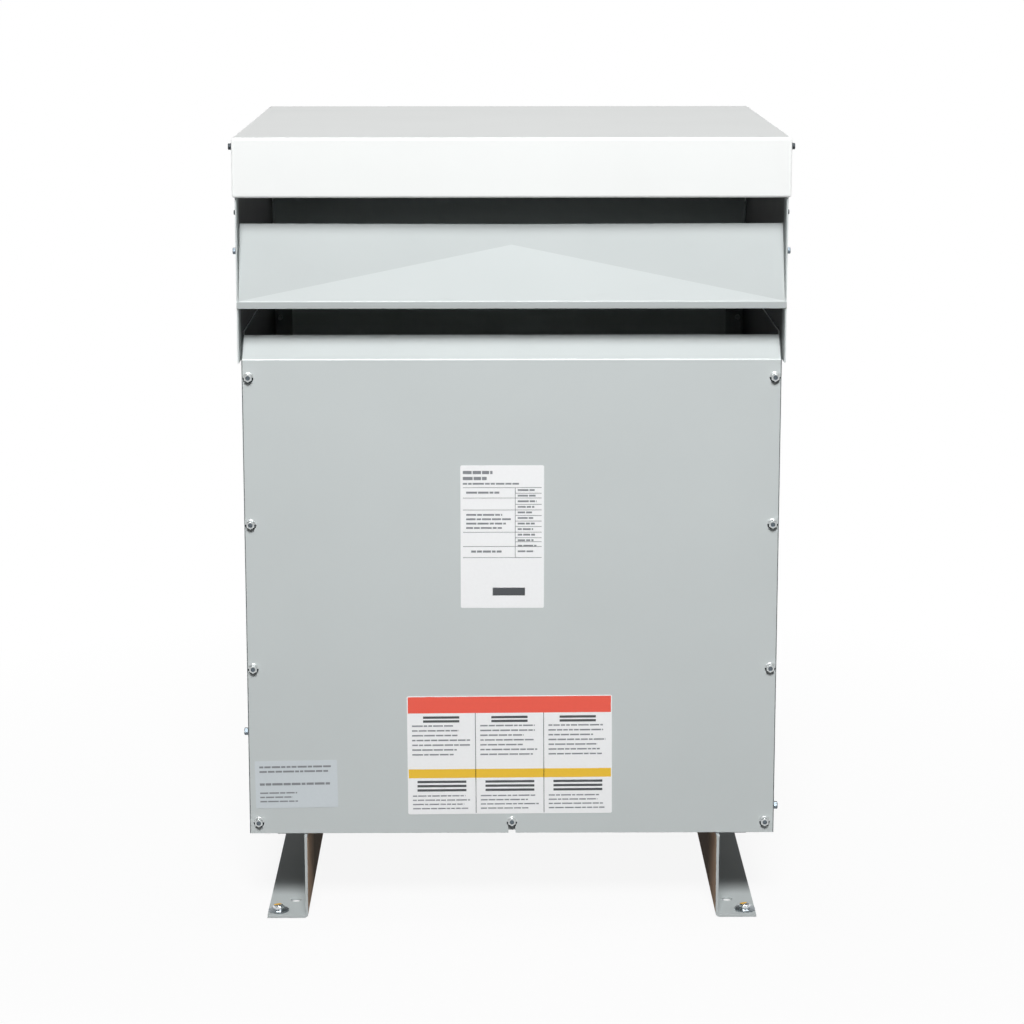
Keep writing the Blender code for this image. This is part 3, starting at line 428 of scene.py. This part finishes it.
# Core: thin sheets of silicon steel stacked from front to back, three legs and two yokes.
# The cut edges of the sheets show on the tops and sides, under a coat of dark varnish.
def laminated(name, dark, light):
    """Varnished stack of steel sheets: fine dark and light lines across the stack, dull metal between.

    The real sheets are 0.35 mm thick and are drawn at 2 mm, so that they show.
    """
    sheet_size = 0.002
    stain_size = 0.030
    material = blank(name)
    tree = material.node_tree
    spot = add(tree, "ShaderNodeTexCoord").outputs["Object"]
    sheets = add(tree, "ShaderNodeTexWave", {
        "Vector": spot, "Scale": math.pi / 10 / sheet_size, "Distortion": 0.4, "Detail": 2.0,
    }, bands_direction="Y")
    stain = add(tree, "ShaderNodeTexNoise", {"Vector": spot, "Scale": 1 / stain_size, "Detail": 5.0})
    depth = add(tree, "ShaderNodeMath", {
        0: sheets.outputs["Fac"], 1: stain.outputs["Fac"]}, operation="MULTIPLY")
    shade = add(tree, "ShaderNodeMix", {
        "Factor": depth.outputs["Value"], "A_Color": linear(dark), "B_Color": linear(light)},
        data_type="RGBA")
    gloss = add(tree, "ShaderNodeMapRange", {"Value": stain.outputs["Fac"], "To Min": 0.35, "To Max": 0.65})
    bump = add(tree, "ShaderNodeBump", {
        "Height": sheets.outputs["Fac"], "Strength": 0.4, "Distance": 0.0004})
    shader = add(tree, "ShaderNodeBsdfPrincipled", {
        "Base Color": shade.outputs[2], "Roughness": gloss.outputs["Result"], "Metallic": 0.6,
        "Normal": bump.outputs["Normal"]})
    add(tree, "ShaderNodeOutputMaterial", {"Surface": shader.outputs["BSDF"]})
    return material


CORE_EDGE = 0.0008
core_varnish = laminated("varnished_core_steel", "26292C", "74787B")
for node in ("core_legs", "core_top_yoke"):
    dress(node, core_varnish, CORE_EDGE)


# Clamps: folded channels below and angles above that squeeze the yokes, drawn together by through bolts.
# They are painted dark grey; the bolts are plated.
CLAMP_EDGE = 0.0008
CLAMP_BOLT_EDGE = 0.0005
clamp_enamel = enamel("clamp_enamel", "3E4245", 0.5)
for level in ("lower", "upper"):
    for end in ENDS:
        dress(f"{level}_{end}_clamp", clamp_enamel, CLAMP_EDGE)
    for side in SIDES:
        dress(f"{level}_{side}_clamp_bolt", zinc, CLAMP_BOLT_EDGE)


# Windings: on each leg a foil winding in pressboard, and a wire winding round it across an air duct.
# The outer ones are bound in overlapping tape and dipped in brown varnish.
def taped(name, dark, light):
    """Varnished cloth tape, wound with laps: a warm brown gloss, darker at each lap and run."""
    lap_size = 0.019
    run_size = 0.025
    thread_size = 0.0016
    material = blank(name)
    tree = material.node_tree
    spot = add(tree, "ShaderNodeTexCoord").outputs["Object"]
    laps = add(tree, "ShaderNodeTexWave", {
        "Vector": spot, "Scale": math.pi / 10 / lap_size, "Distortion": 0.6, "Detail": 1.0,
    }, bands_direction="Z", wave_profile="SAW")
    threads = add(tree, "ShaderNodeTexWave", {
        "Vector": spot, "Scale": math.pi / 10 / thread_size, "Distortion": 0.5,
    }, bands_direction="Z")
    runs = add(tree, "ShaderNodeTexNoise", {"Vector": spot, "Scale": 1 / run_size, "Detail": 5.0})
    depth = add(tree, "ShaderNodeMath", {
        0: laps.outputs["Fac"], 1: runs.outputs["Fac"]}, operation="MULTIPLY")
    shade = add(tree, "ShaderNodeMix", {
        "Factor": depth.outputs["Value"], "A_Color": linear(dark), "B_Color": linear(light)},
        data_type="RGBA")
    gloss = add(tree, "ShaderNodeMapRange", {"Value": runs.outputs["Fac"], "To Min": 0.22, "To Max": 0.50})
    weave = add(tree, "ShaderNodeBump", {
        "Height": threads.outputs["Fac"], "Strength": 0.25, "Distance": 0.0002})
    bump = add(tree, "ShaderNodeBump", {
        "Height": laps.outputs["Fac"], "Strength": 0.6, "Distance": 0.0008,
        "Normal": weave.outputs["Normal"]})
    shader = add(tree, "ShaderNodeBsdfPrincipled", {
        "Base Color": shade.outputs[2], "Roughness": gloss.outputs["Result"], "IOR": 1.55,
        "Normal": bump.outputs["Normal"]})
    add(tree, "ShaderNodeOutputMaterial", {"Surface": shader.outputs["BSDF"]})
    return material


LEGS = ("left", "centre", "right")
PRESSBOARD_EDGE = 0.0006
TAPE_EDGE = 0.0015
wire_tape = taped("varnished_tape", "3A2112", "9A6234")
pressboard = taped("varnished_pressboard", "8F7646", "D8C498")
for leg in LEGS:
    dress(f"{leg}_lv_winding", pressboard, PRESSBOARD_EDGE)
    dress(f"{leg}_hv_winding", wire_tape, TAPE_EDGE)


# Terminals: a board of red glass laminate on the upper clamp, and straps and bars of flat aluminium.
# The bars are cut, bent and drilled for cable lugs; the ground bar on the pan is copper.
def laminate(name, colour):
    """Pressed glass laminate: a flat red sheet with a faint weave and a satin surface."""
    weave_size = 0.003
    material = blank(name)
    tree = material.node_tree
    spot = add(tree, "ShaderNodeTexCoord").outputs["Object"]
    weave = add(tree, "ShaderNodeTexMagic", {"Vector": spot, "Scale": 1 / weave_size}, turbulence_depth=1)
    tone = add(tree, "ShaderNodeMapRange", {"Value": weave.outputs["Fac"], "To Min": 0.85, "To Max": 1.1})
    shade = add(tree, "ShaderNodeHueSaturation", {"Color": linear(colour), "Value": tone.outputs["Result"]})
    bump = add(tree, "ShaderNodeBump", {
        "Height": weave.outputs["Fac"], "Strength": 0.15, "Distance": 0.0002})
    shader = add(tree, "ShaderNodeBsdfPrincipled", {
        "Base Color": shade.outputs["Color"], "Roughness": 0.45, "IOR": 1.55,
        "Normal": bump.outputs["Normal"]})
    add(tree, "ShaderNodeOutputMaterial", {"Surface": shader.outputs["BSDF"]})
    return material


def rolled(name, colour):
    """Rolled bar metal: long fine drawing lines across the width and a cloudy gloss.

    The real lines are under 0.1 mm apart and are drawn at 0.8 mm, so that they show.
    """
    line_size = 0.0008
    line_length = 0.050
    cloud_size = 0.020
    material = blank(name)
    tree = material.node_tree
    spot = add(tree, "ShaderNodeTexCoord").outputs["Object"]
    stretched = add(tree, "ShaderNodeMapping", {
        "Vector": spot, "Scale": (1 / line_size, 1 / line_length, 1 / line_length)})
    lines = add(tree, "ShaderNodeTexNoise", {
        "Vector": stretched.outputs["Vector"], "Scale": 1.0, "Detail": 2.0})
    clouds = add(tree, "ShaderNodeTexNoise", {"Vector": spot, "Scale": 1 / cloud_size, "Detail": 4.0})
    tone = add(tree, "ShaderNodeMapRange", {"Value": lines.outputs["Fac"], "To Min": 0.86, "To Max": 1.06})
    shade = add(tree, "ShaderNodeHueSaturation", {"Color": linear(colour), "Value": tone.outputs["Result"]})
    gloss = add(tree, "ShaderNodeMapRange", {
        "Value": clouds.outputs["Fac"], "To Min": 0.28, "To Max": 0.50})
    bump = add(tree, "ShaderNodeBump", {
        "Height": lines.outputs["Fac"], "Strength": 0.2, "Distance": 0.0001})
    shader = add(tree, "ShaderNodeBsdfPrincipled", {
        "Base Color": shade.outputs["Color"], "Roughness": gloss.outputs["Result"], "Metallic": 1.0,
        "Normal": bump.outputs["Normal"]})
    add(tree, "ShaderNodeOutputMaterial", {"Surface": shader.outputs["BSDF"]})
    return material


LAMINATE_EDGE = 0.0005
BAR_EDGE = 0.0004
red_laminate = laminate("red_glass_laminate", "8F3328")
aluminium = rolled("rolled_aluminium", "D2D5D7")
copper = rolled("rolled_copper", "C98259")
dress("terminal_board", red_laminate, LAMINATE_EDGE)
for leg in LEGS:
    dress(f"{leg}_hv_terminal", aluminium, BAR_EDGE)
    dress(f"{leg}_lv_bar", aluminium, BAR_EDGE)
dress("neutral_bar", aluminium, BAR_EDGE)
dress("ground_bar", copper, BAR_EDGE)


# Side panels, vent cheeks and deflectors: folded sheet, screwed and welded into one frame.
# The deflectors are cross-broken, so that the wide sheet doesn't drum, and shed rain past the vents.
# The deflector is painted darker than the cabinet, as painted shade, and the facet under the breaks lighter,
# as a painted highlight; inside, the vents carry painted shade.
BREAK_AREA = 0.01             # a facet beside a break is larger than this
LEVEL_ACROSS = 0.001          # normal's sideways share on the facet under the breaks
LOOKS_UP = 0.1
# painted shade: inside faces darken towards the middle, standing in for the unlit inside of the cabinet
vent_enamel = enamel("body_enamel_painted_shade", "C8CECE", 0.70, painted_shade=0.88, fade=(0.262, 0.300))
for side in SIDES:
    dress(f"{side}_side_panel", body_enamel, SHEET_EDGE, inside=vent_enamel)
    dress(f"{side}_vent_cheek", body_enamel, SHEET_EDGE, inside=vent_enamel)
# painted shade and painted highlight: a darker and a lighter copy of the cabinet's enamel
shaded_deflector_enamel = enamel("deflector_enamel_painted_shade", "B6BCBC", 0.58)
lit_deflector_enamel = enamel("deflector_enamel_painted_highlight", "C0C6C6", 0.58)
fold_enamel = enamel("body_enamel_on_folds", "C8CECE", 0.28, shine=0.5)
for end in ENDS:
    blade = dress(f"{end}_deflector", shaded_deflector_enamel, SHEET_EDGE, fold=fold_enamel)
    blade.data.materials.append(lit_deflector_enamel)
    for facet in blade.data.polygons:
        way = facet.normal
        if facet.area > BREAK_AREA and abs(way.x) < LEVEL_ACROSS and way.z > LOOKS_UP:
            facet.material_index = len(blade.data.materials) - 1


# Side screws: hex washer-head screws that hold the cheeks to the deflectors and the side panels to the pan.
# They are cold headed with rolled threads and zinc plated; the small ones under the hood, and the hood's own
# screws, are darker.
def washer_head(shank, length, collar, flats, head):
    """Bolt along Z: a shank with rolled threads, a round washer face and a dimpled hex head.

    The dimple takes a second finish, and the lower half of the washer face, towards -Y, a third; on the
    panel bolts these carry painted shade in the dimple and a painted shadow under the head.
    """
    pitch = 0.00127
    collar_height = 0.0012
    dimple = flats * 0.30
    dimple_depth = head * 0.35
    rings = [(-length, shank * 0.7, None)]
    level = -length + pitch
    while level < -pitch:
        rings += [(level, shank * 0.84, None), (level + pitch / 2, shank, None)]
        level += pitch
    rings += [
        (0, shank, None), (0, collar * 0.97, None), (collar_height * 0.5, collar, None),
        (collar_height * 0.85, collar * 0.95, None),
    ]
    rings += hex_head(flats, collar_height, head)
    rings += [
        (head, dimple, None), (head - dimple_depth * 0.9, dimple * 0.88, None),
        (head - dimple_depth, dimple * 0.60, None),
    ]
    mesh = turned(rings)
    for face in mesh.faces:
        middle = face.calc_center_median()
        if middle.xy.length < dimple and middle.z > 0:
            face.material_index = 1
        elif 0 < middle.z < collar_height and middle.y < 0:
            face.material_index = 2
    return mesh


TO_SIDE = {-1: (0, -math.pi / 2, 0), 1: (0, math.pi / 2, 0)}
TO_END = {-1: (math.pi / 2, 0, 0), 1: (math.pi / 2, 0, math.pi)}
screw_zinc = plated("zinc_plate_grey", "6B747B", 0.38)
dark_steel = plated("dark_plated_steel", "3C4043", 0.45)
# painted shadow for the lower half of the panel bolts' washer faces
shadow_zinc = plated("zinc_plate_painted_shadow", "2C3033", 0.50)
cheek_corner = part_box("right_vent_cheek")[1]
wall_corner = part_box("right_side_panel")[1]
SHEET = 0.0019                # a screw stops short of the inside of the sheet
# Each screw: shank radius, shank length, washer-face radius, width over flats, head height.
CHEEK_SCREW = (0.0025, SHEET, 0.0047, 0.0075, 0.0044)
CHEEK_SCREW_LEVEL = 0.8445
CHEEK_SCREW_SETBACK = 0.012
SMALL_SCREW = (0.0018, SHEET, 0.0036, 0.0055, 0.0032)
SMALL_SCREW_LEVEL = 0.890
SMALL_SCREW_SETBACK = 0.022
WALL_SCREW = (0.0028, SHEET, 0.0058, 0.0085, 0.0058)
WALL_SCREW_LEVELS = {"left": 0.237, "right": 0.139}
WALL_SCREW_SETBACK = 0.016
for side, sign in SIDES.items():
    for end, way in ENDS.items():
        screw = put(
            washer_head(*CHEEK_SCREW), f"cheek_screw_{end}_{side}", screw_zinc,
            spot=(sign * cheek_corner.x, way * (cheek_corner.y - CHEEK_SCREW_SETBACK), CHEEK_SCREW_LEVEL),
            turn=TO_SIDE[sign])
        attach(screw, "enclosure")
        screw = put(
            washer_head(*SMALL_SCREW), f"small_screw_{end}_{side}", dark_steel,
            spot=(sign * cheek_corner.x, way * (cheek_corner.y - SMALL_SCREW_SETBACK), SMALL_SCREW_LEVEL),
            turn=TO_SIDE[sign])
        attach(screw, "enclosure")
        screw = put(
            washer_head(*WALL_SCREW), f"wall_screw_{end}_{side}", screw_zinc,
            spot=(sign * wall_corner.x, way * (wall_corner.y - WALL_SCREW_SETBACK), WALL_SCREW_LEVELS[side]),
            turn=TO_SIDE[sign])
        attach(screw, "enclosure")


# Hood: a deep pan of sheet steel, welded at its corners, that sits over the cheeks and keeps rain out.
# It is sprayed in a paler grey than the cabinet and held by two screws at each side.
HOOD_EDGE = 0.0008
HOOD_CORNER = 0.0034          # ground off each lower corner
HOOD_SCREW = (0.0025, SHEET, 0.0046, 0.0074, 0.0042)
# painted shade: the hood's top is darkened where it faces up
hood_enamel = enamel("hood_enamel", "F2F4F3", 0.60, top_shade=0.20)
dress("top_hood", hood_enamel, HOOD_EDGE, ground=HOOD_CORNER)
for side, sign in SIDES.items():
    node = f"{side}_hood_screw"
    low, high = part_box(node)
    head_foot = sign * (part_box("top_hood")[1].x + SEAT)
    middle = (head_foot, (low.y + high.y) / 2, (low.z + high.z) / 2)
    screw = put(washer_head(*HOOD_SCREW), f"{node}_turned", dark_steel, spot=middle, turn=TO_SIDE[sign])
    stand_for(screw, node)
    rear = (head_foot, -middle[1], middle[2])
    screw = put(washer_head(*HOOD_SCREW), f"rear_{node}", dark_steel, spot=rear, turn=TO_SIDE[sign])
    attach(screw, "hood")


# Front and rear panels: flat sheets with a sloped flange along the top, which lift off for wiring.
# Nine hex washer-head bolts hold each one; the middle one sits in an open slot at the lower edge.
# Painted shade runs dark along the sheared sides, and a painted shadow lies under the bolts' washer faces.
PANEL_BOLT = (0.003, 0.016, 0.0066, 0.0095, 0.0060)
SLOT_BOLT = (0.003, 0.016, 0.0066, 0.0095, 0.0036)
# painted shade along the sheared sides
edge_shade_enamel = enamel("body_enamel_painted_edge_shade", "5A5F61", 0.60)
for end in ENDS:
    dress(f"{end}_panel", body_enamel, SHEET_EDGE, rim=edge_shade_enamel, fold=fold_enamel)
bolt_names = [name for name in frame["nodes"] if name.startswith("panel_bolt_")]
panel_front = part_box("front_panel")[0].y
for node in bolt_names:
    low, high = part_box(node)
    middle = ((low.x + high.x) / 2, panel_front - SEAT, (low.z + high.z) / 2)
    size = SLOT_BOLT if node.endswith("centre") else PANEL_BOLT
    # darker zinc in the dimple is painted shade, and the dark lower washer face a painted shadow
    bolt = put(
        washer_head(*size), f"{node}_turned", zinc, screw_zinc, shadow_zinc,
        spot=middle, turn=TO_END[-1])
    stand_for(bolt, node)
    behind = (middle[0], -middle[1], middle[2])
    bolt = put(
        washer_head(*size), f"rear_{node}", zinc, screw_zinc, shadow_zinc,
        spot=behind, turn=TO_END[1])
    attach(bolt, "rear_cover")


# Labels: a printed plastic data plate, a vinyl sticker with two colour bands, and a metal plate.
# They are glued flat on the front panel, and their print is plain bars and rules.
FILM = 0.0002                 # thickness of a plate or sticker
INK = 0.00003
RULE = 0.0003                 # half the width of a rule
BAR_LENGTHS = (0.004, 0.014)
BAR_GAP = 0.0012
RAGGED = 0.3                  # a row of bars stops short by up to this share


def coated(name, colour, roughness, metallic=0.0):
    """Printed film: an even colour with a faint mottle and a soft gloss."""
    mottle_size = 0.004
    material = blank(name)
    tree = material.node_tree
    spot = add(tree, "ShaderNodeTexCoord").outputs["Object"]
    mottle = add(tree, "ShaderNodeTexNoise", {"Vector": spot, "Scale": 1 / mottle_size, "Detail": 3.0})
    tone = add(tree, "ShaderNodeMapRange", {"Value": mottle.outputs["Fac"], "To Min": 0.97, "To Max": 1.03})
    shade = add(tree, "ShaderNodeHueSaturation", {"Color": linear(colour), "Value": tone.outputs["Result"]})
    gloss = add(tree, "ShaderNodeMapRange", {
        "Value": mottle.outputs["Fac"], "To Min": roughness - 0.06, "To Max": roughness + 0.06})
    shader = add(tree, "ShaderNodeBsdfPrincipled", {
        "Base Color": shade.outputs["Color"], "Roughness": gloss.outputs["Result"], "Metallic": metallic,
        "IOR": 1.5})
    add(tree, "ShaderNodeOutputMaterial", {"Surface": shader.outputs["BSDF"]})
    return material


def film(name, material, middle, width, height, tilt, corner):
    """Flat plate on the front panel with round corners, riding with the panel."""
    mesh = bmesh.new()
    rows = []
    for level in (0, -FILM):
        row = []
        for quarter, (x, z) in enumerate(((1, 1), (-1, 1), (-1, -1), (1, -1))):
            for step in range(5):
                angle = math.pi / 2 * (quarter + step / 4)
                row.append(mesh.verts.new((
                    x * (width / 2 - corner) + corner * math.cos(angle), level,
                    z * (height / 2 - corner) + corner * math.sin(angle))))
        rows.append(row)
    mesh.faces.new(rows[0])
    mesh.faces.new(rows[1])
    count = len(rows[0])
    for at in range(count):
        after = (at + 1) % count
        mesh.faces.new((rows[0][at], rows[0][after], rows[1][after], rows[1][at]))
    spot = (middle[0], panel_front - FILM / 4, middle[1])
    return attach(put(mesh, name, material, spot=spot, turn=(0, -math.radians(tilt), 0)), "front_cover")


def printed(name, material, plate, blocks):
    """Ink on a plate: thin blocks given by left, low, right and high from the plate's middle."""
    mesh = bmesh.new()
    for left, low, right, high in blocks:
        size = Matrix.Diagonal((right - left, INK, high - low, 1))
        centre = Matrix.Translation(((left + right) / 2, -FILM - INK / 2, (low + high) / 2))
        bmesh.ops.create_cube(mesh, size=1, matrix=centre @ size)
    piece = put(mesh, name, material, spot=plate.location, turn=plate.rotation_euler)
    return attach(piece, "front_cover")


def barred(left, right, top, rows, pitch, height, seed):
    """Ragged rows of bars."""
    draw = random.Random(seed)
    blocks = []
    for row in range(rows):
        high = top - row * pitch
        start = left
        stop = right - (right - left) * draw.uniform(0.0, RAGGED)
        while start < stop:
            length = draw.uniform(*BAR_LENGTHS)
            blocks.append((start, high - height, min(start + length, stop), high))
            start += length + BAR_GAP
    return blocks


def ruled(left, right, levels):
    """Rules across a plate at the given levels."""
    return [(left, level - RULE, right, level + RULE) for level in levels]


white_vinyl = coated("white_vinyl", "F8F9FA", 0.38)
red_ink = coated("coral_ink", "F0604F", 0.42)
amber_ink = coated("amber_ink", "F2C53D", 0.42)
grey_ink = coated("grey_ink", "85888C", 0.5)
dark_ink = coated("dark_ink", "4A4D50", 0.5)
plate_metal = coated("anodised_plate", "CDD4D8", 0.40, 0.2)

STICKER_WIDTH = 0.256
STICKER_HEIGHT = 0.1533
STICKER_AT = (-0.0027, 0.2108)
STICKER_MARGIN = 0.0012
COLUMN_MARGIN = 0.006
sticker = film("banded_sticker", white_vinyl, STICKER_AT, STICKER_WIDTH, STICKER_HEIGHT, 0.36, 0.002)
half = STICKER_WIDTH / 2 - STICKER_MARGIN
column = STICKER_WIDTH / 3
printed("sticker_red_band", red_ink, sticker, [(-half, 0.0545, half, 0.0755)])
printed("sticker_amber_band", amber_ink, sticker, [(-half, -0.0295, half, -0.0180)])
rules = [(x - 0.0004, -0.0755, x + 0.0004, 0.0545) for x in (-column / 2, column / 2)]
heads = []
bars = []
for number in (-1, 0, 1):
    left = number * column - column / 2 + COLUMN_MARGIN
    right = number * column + column / 2 - COLUMN_MARGIN
    heads += [(left + 0.014, high - 0.0030, right - 0.014, high) for high in (0.0505, 0.0455)]
    heads += [(left + 0.006, high - 0.0030, right - 0.006, high) for high in (-0.0330, -0.0385, -0.0440)]
    bars += barred(left, right, 0.0390, 7, 0.0062, 0.0018, number + 3)
    bars += barred(left, right, -0.0520, 4, 0.0055, 0.0016, number + 8)
printed("sticker_rules", dark_ink, sticker, rules + heads)
printed("sticker_bars", grey_ink, sticker, bars)

PLATE_WIDTH = 0.103
PLATE_HEIGHT = 0.1797
PLATE_AT = (-0.0117, 0.4896)
PLATE_MARGIN = 0.003
COLUMN_AT = 0.016             # where the plate's right-hand column starts
data_plate = film("data_plate", white_vinyl, PLATE_AT, PLATE_WIDTH, PLATE_HEIGHT, 0.0, 0.002)
half = PLATE_WIDTH / 2 - PLATE_MARGIN
lines = ruled(-half, half, (0.062, 0.049, 0.034, 0.006, -0.012, -0.026))
lines += [(COLUMN_AT - RULE, -0.026, COLUMN_AT + RULE, 0.062)]
lines += ruled(COLUMN_AT, half, (0.055, 0.041, 0.027, 0.020, 0.013, -0.001, -0.006))
printed("plate_rules", dark_ink, data_plate, lines)
bars = barred(-half, -0.010, 0.083, 2, 0.0075, 0.0040, 21)
bars += barred(-half, half, 0.068, 1, 0.005, 0.0022, 22)
bars += barred(-half + 0.004, 0.012, 0.057, 1, 0.006, 0.0024, 23)
bars += barred(-half + 0.004, 0.012, 0.029, 4, 0.0055, 0.0022, 24)
bars += barred(0.019, half - 0.006, 0.060, 12, 0.0070, 0.0022, 25)
bars += barred(-half + 0.010, 0.010, -0.017, 1, 0.006, 0.0026, 26)
printed("plate_bars", grey_ink, data_plate, bars)
printed("plate_blocks", dark_ink, data_plate, [(-0.012, -0.074, 0.028, -0.064)])

TAG_WIDTH = 0.103
TAG_HEIGHT = 0.0613
TAG_AT = (-0.2702, 0.1730)
tag = film("metal_tag", plate_metal, TAG_AT, TAG_WIDTH, TAG_HEIGHT, 0.9, 0.001)
bars = barred(-0.046, 0.044, 0.024, 2, 0.006, 0.0024, 31)
bars += barred(-0.046, 0.044, 0.002, 1, 0.006, 0.0030, 32)
bars += barred(-0.046, 0.010, -0.010, 3, 0.0055, 0.0018, 33)
printed("tag_bars", grey_ink, tag, bars)


# Studio: a pale floor that turns to plain white away from the cabinet, and soft light from the front.
# The floor keeps the cabinet's shadow, and the camera stands where the photograph was taken.
FLOOR_REACH = 12.0
FLOOR_DROP = 0.0003           # under the feet
POOL = (0.4, 1.4)             # the floor's light and shadow fade out between these radii
POOL_SHARE = 0.91             # of plain white in the floor by the feet
AMBIENT = 0.12                # light from the walls
DIM = 0.35                    # what a gloss sees overhead and behind the camera, where the walls are 1
ROOF = (0.35, 0.75)           # upward share of a direction between which the walls turn to the roof
FRONT = (-0.9, -0.4)          # the same for the wall behind the camera
LAMP_LEVEL = 0.62             # of the lamps behind and beside the cabinet


def seen_white(tree):
    """1 for a ray from the camera, a gloss or a clear body, which sees plain white; 0 for the light."""
    path = add(tree, "ShaderNodeLightPath")
    seen = add(tree, "ShaderNodeMath", {
        0: path.outputs["Is Camera Ray"], 1: path.outputs["Is Glossy Ray"]}, operation="MAXIMUM")
    clear = add(tree, "ShaderNodeMath", {
        0: seen.outputs["Value"], 1: path.outputs["Is Transmission Ray"]}, operation="MAXIMUM")
    return clear.outputs["Value"]


world = bpy.data.worlds.new("studio")
bpy.context.scene.world = world
world.use_nodes = True
tree = world.node_tree
tree.nodes.clear()
towards = add(tree, "ShaderNodeTexCoord").outputs["Generated"]
towards = add(tree, "ShaderNodeSeparateXYZ", {"Vector": towards}).outputs
roof = add(tree, "ShaderNodeMapRange", {
    "Value": towards["Z"], "From Min": ROOF[0], "From Max": ROOF[1], "To Min": 1.0, "To Max": DIM})
front = add(tree, "ShaderNodeMapRange", {
    "Value": towards["Y"], "From Min": FRONT[0], "From Max": FRONT[1], "To Min": DIM, "To Max": 1.0})
walls = add(tree, "ShaderNodeMath", {
    0: roof.outputs["Result"], 1: front.outputs["Result"]}, operation="MULTIPLY")
path = add(tree, "ShaderNodeLightPath").outputs
mirrored = add(tree, "ShaderNodeMath", {
    0: path["Is Glossy Ray"], 1: path["Is Transmission Ray"]}, operation="MAXIMUM")
level = add(tree, "ShaderNodeMapRange", {
    "Value": mirrored.outputs["Value"], "To Min": AMBIENT, "To Max": walls.outputs["Value"]})
strength = add(tree, "ShaderNodeMath", {
    0: level.outputs["Result"], 1: path["Is Camera Ray"]}, operation="MAXIMUM")
sky = add(tree, "ShaderNodeBackground", {
    "Color": linear("FFFFFF"), "Strength": strength.outputs["Value"]})
add(tree, "ShaderNodeOutputWorld", {"Surface": sky.outputs["Background"]})

floor_paint = blank("floor_paint")
tree = floor_paint.node_tree
place = add(tree, "ShaderNodeTexCoord").outputs["Object"]
distance = add(tree, "ShaderNodeVectorMath", {0: place}, operation="LENGTH")
share = add(tree, "ShaderNodeMapRange", {
    "Value": distance.outputs["Value"], "From Min": POOL[0], "From Max": POOL[1],
    "To Min": POOL_SHARE, "To Max": 1.0})
white = seen_white(tree)
share = add(tree, "ShaderNodeMath", {0: share.outputs["Result"], 1: white}, operation="MULTIPLY")
tone = add(tree, "ShaderNodeMix", {
    "Factor": white, "A_Color": linear("6A6A6A"), "B_Color": linear("E6E6E6")}, data_type="RGBA")
matt = add(tree, "ShaderNodeBsdfDiffuse", {"Color": tone.outputs[2]})
glow = add(tree, "ShaderNodeEmission", {"Color": linear("FFFFFF"), "Strength": 1.0})
mix = add(tree, "ShaderNodeMixShader", {
    0: share.outputs["Value"], 1: matt.outputs["BSDF"], 2: glow.outputs["Emission"]})
add(tree, "ShaderNodeOutputMaterial", {"Surface": mix.outputs["Shader"]})
mesh = bmesh.new()
bmesh.ops.create_grid(mesh, x_segments=1, y_segments=1, size=FLOOR_REACH)
floor = put(mesh, "floor", floor_paint, spot=(0, 0, -FLOOR_DROP))


def softbox(name, place, aim, width, height, power, spread=180):
    """Soft area lamp that faces a point; a spread under 180 degrees is a grid on its front."""
    lamp = bpy.data.lights.new(name, "AREA")
    lamp.shape = "RECTANGLE"
    lamp.size = width
    lamp.size_y = height
    lamp.energy = power
    lamp.spread = math.radians(spread)
    holder = bpy.data.objects.new(name, lamp)
    bpy.context.scene.collection.objects.link(holder)
    holder.location = place
    holder.rotation_euler = (Vector(aim) - Vector(place)).to_track_quat("-Z", "Y").to_euler()
    holder.visible_camera = False
    holder.visible_glossy = name == "key"


softbox("key", (0.0, -6.6, 7.0), (0, -0.28, 1.8), 2.6, 3.0, 58, 36)
waist = (0, 0, LAMP_LEVEL)
softbox("back", (0.0, 8.0, LAMP_LEVEL), waist, 1.0, 0.6, 3.6, 16)
for side, sign in SIDES.items():
    softbox(f"{side}_strip", (sign * 8.0, 0.0, LAMP_LEVEL), waist, 0.8, 0.6, 2.6, 16)

camera = bpy.data.cameras.new("camera")
camera.lens = 102.58
camera.sensor_width = 36.0
holder = bpy.data.objects.new("camera", camera)
bpy.context.scene.collection.objects.link(holder)
holder.location = (-0.0226, -3.8046, 1.2299)
holder.rotation_euler = (math.radians(78.625), math.radians(0.02), math.radians(-0.376))
bpy.context.scene.camera = holder
bpy.context.scene.view_settings.view_transform = "Standard"
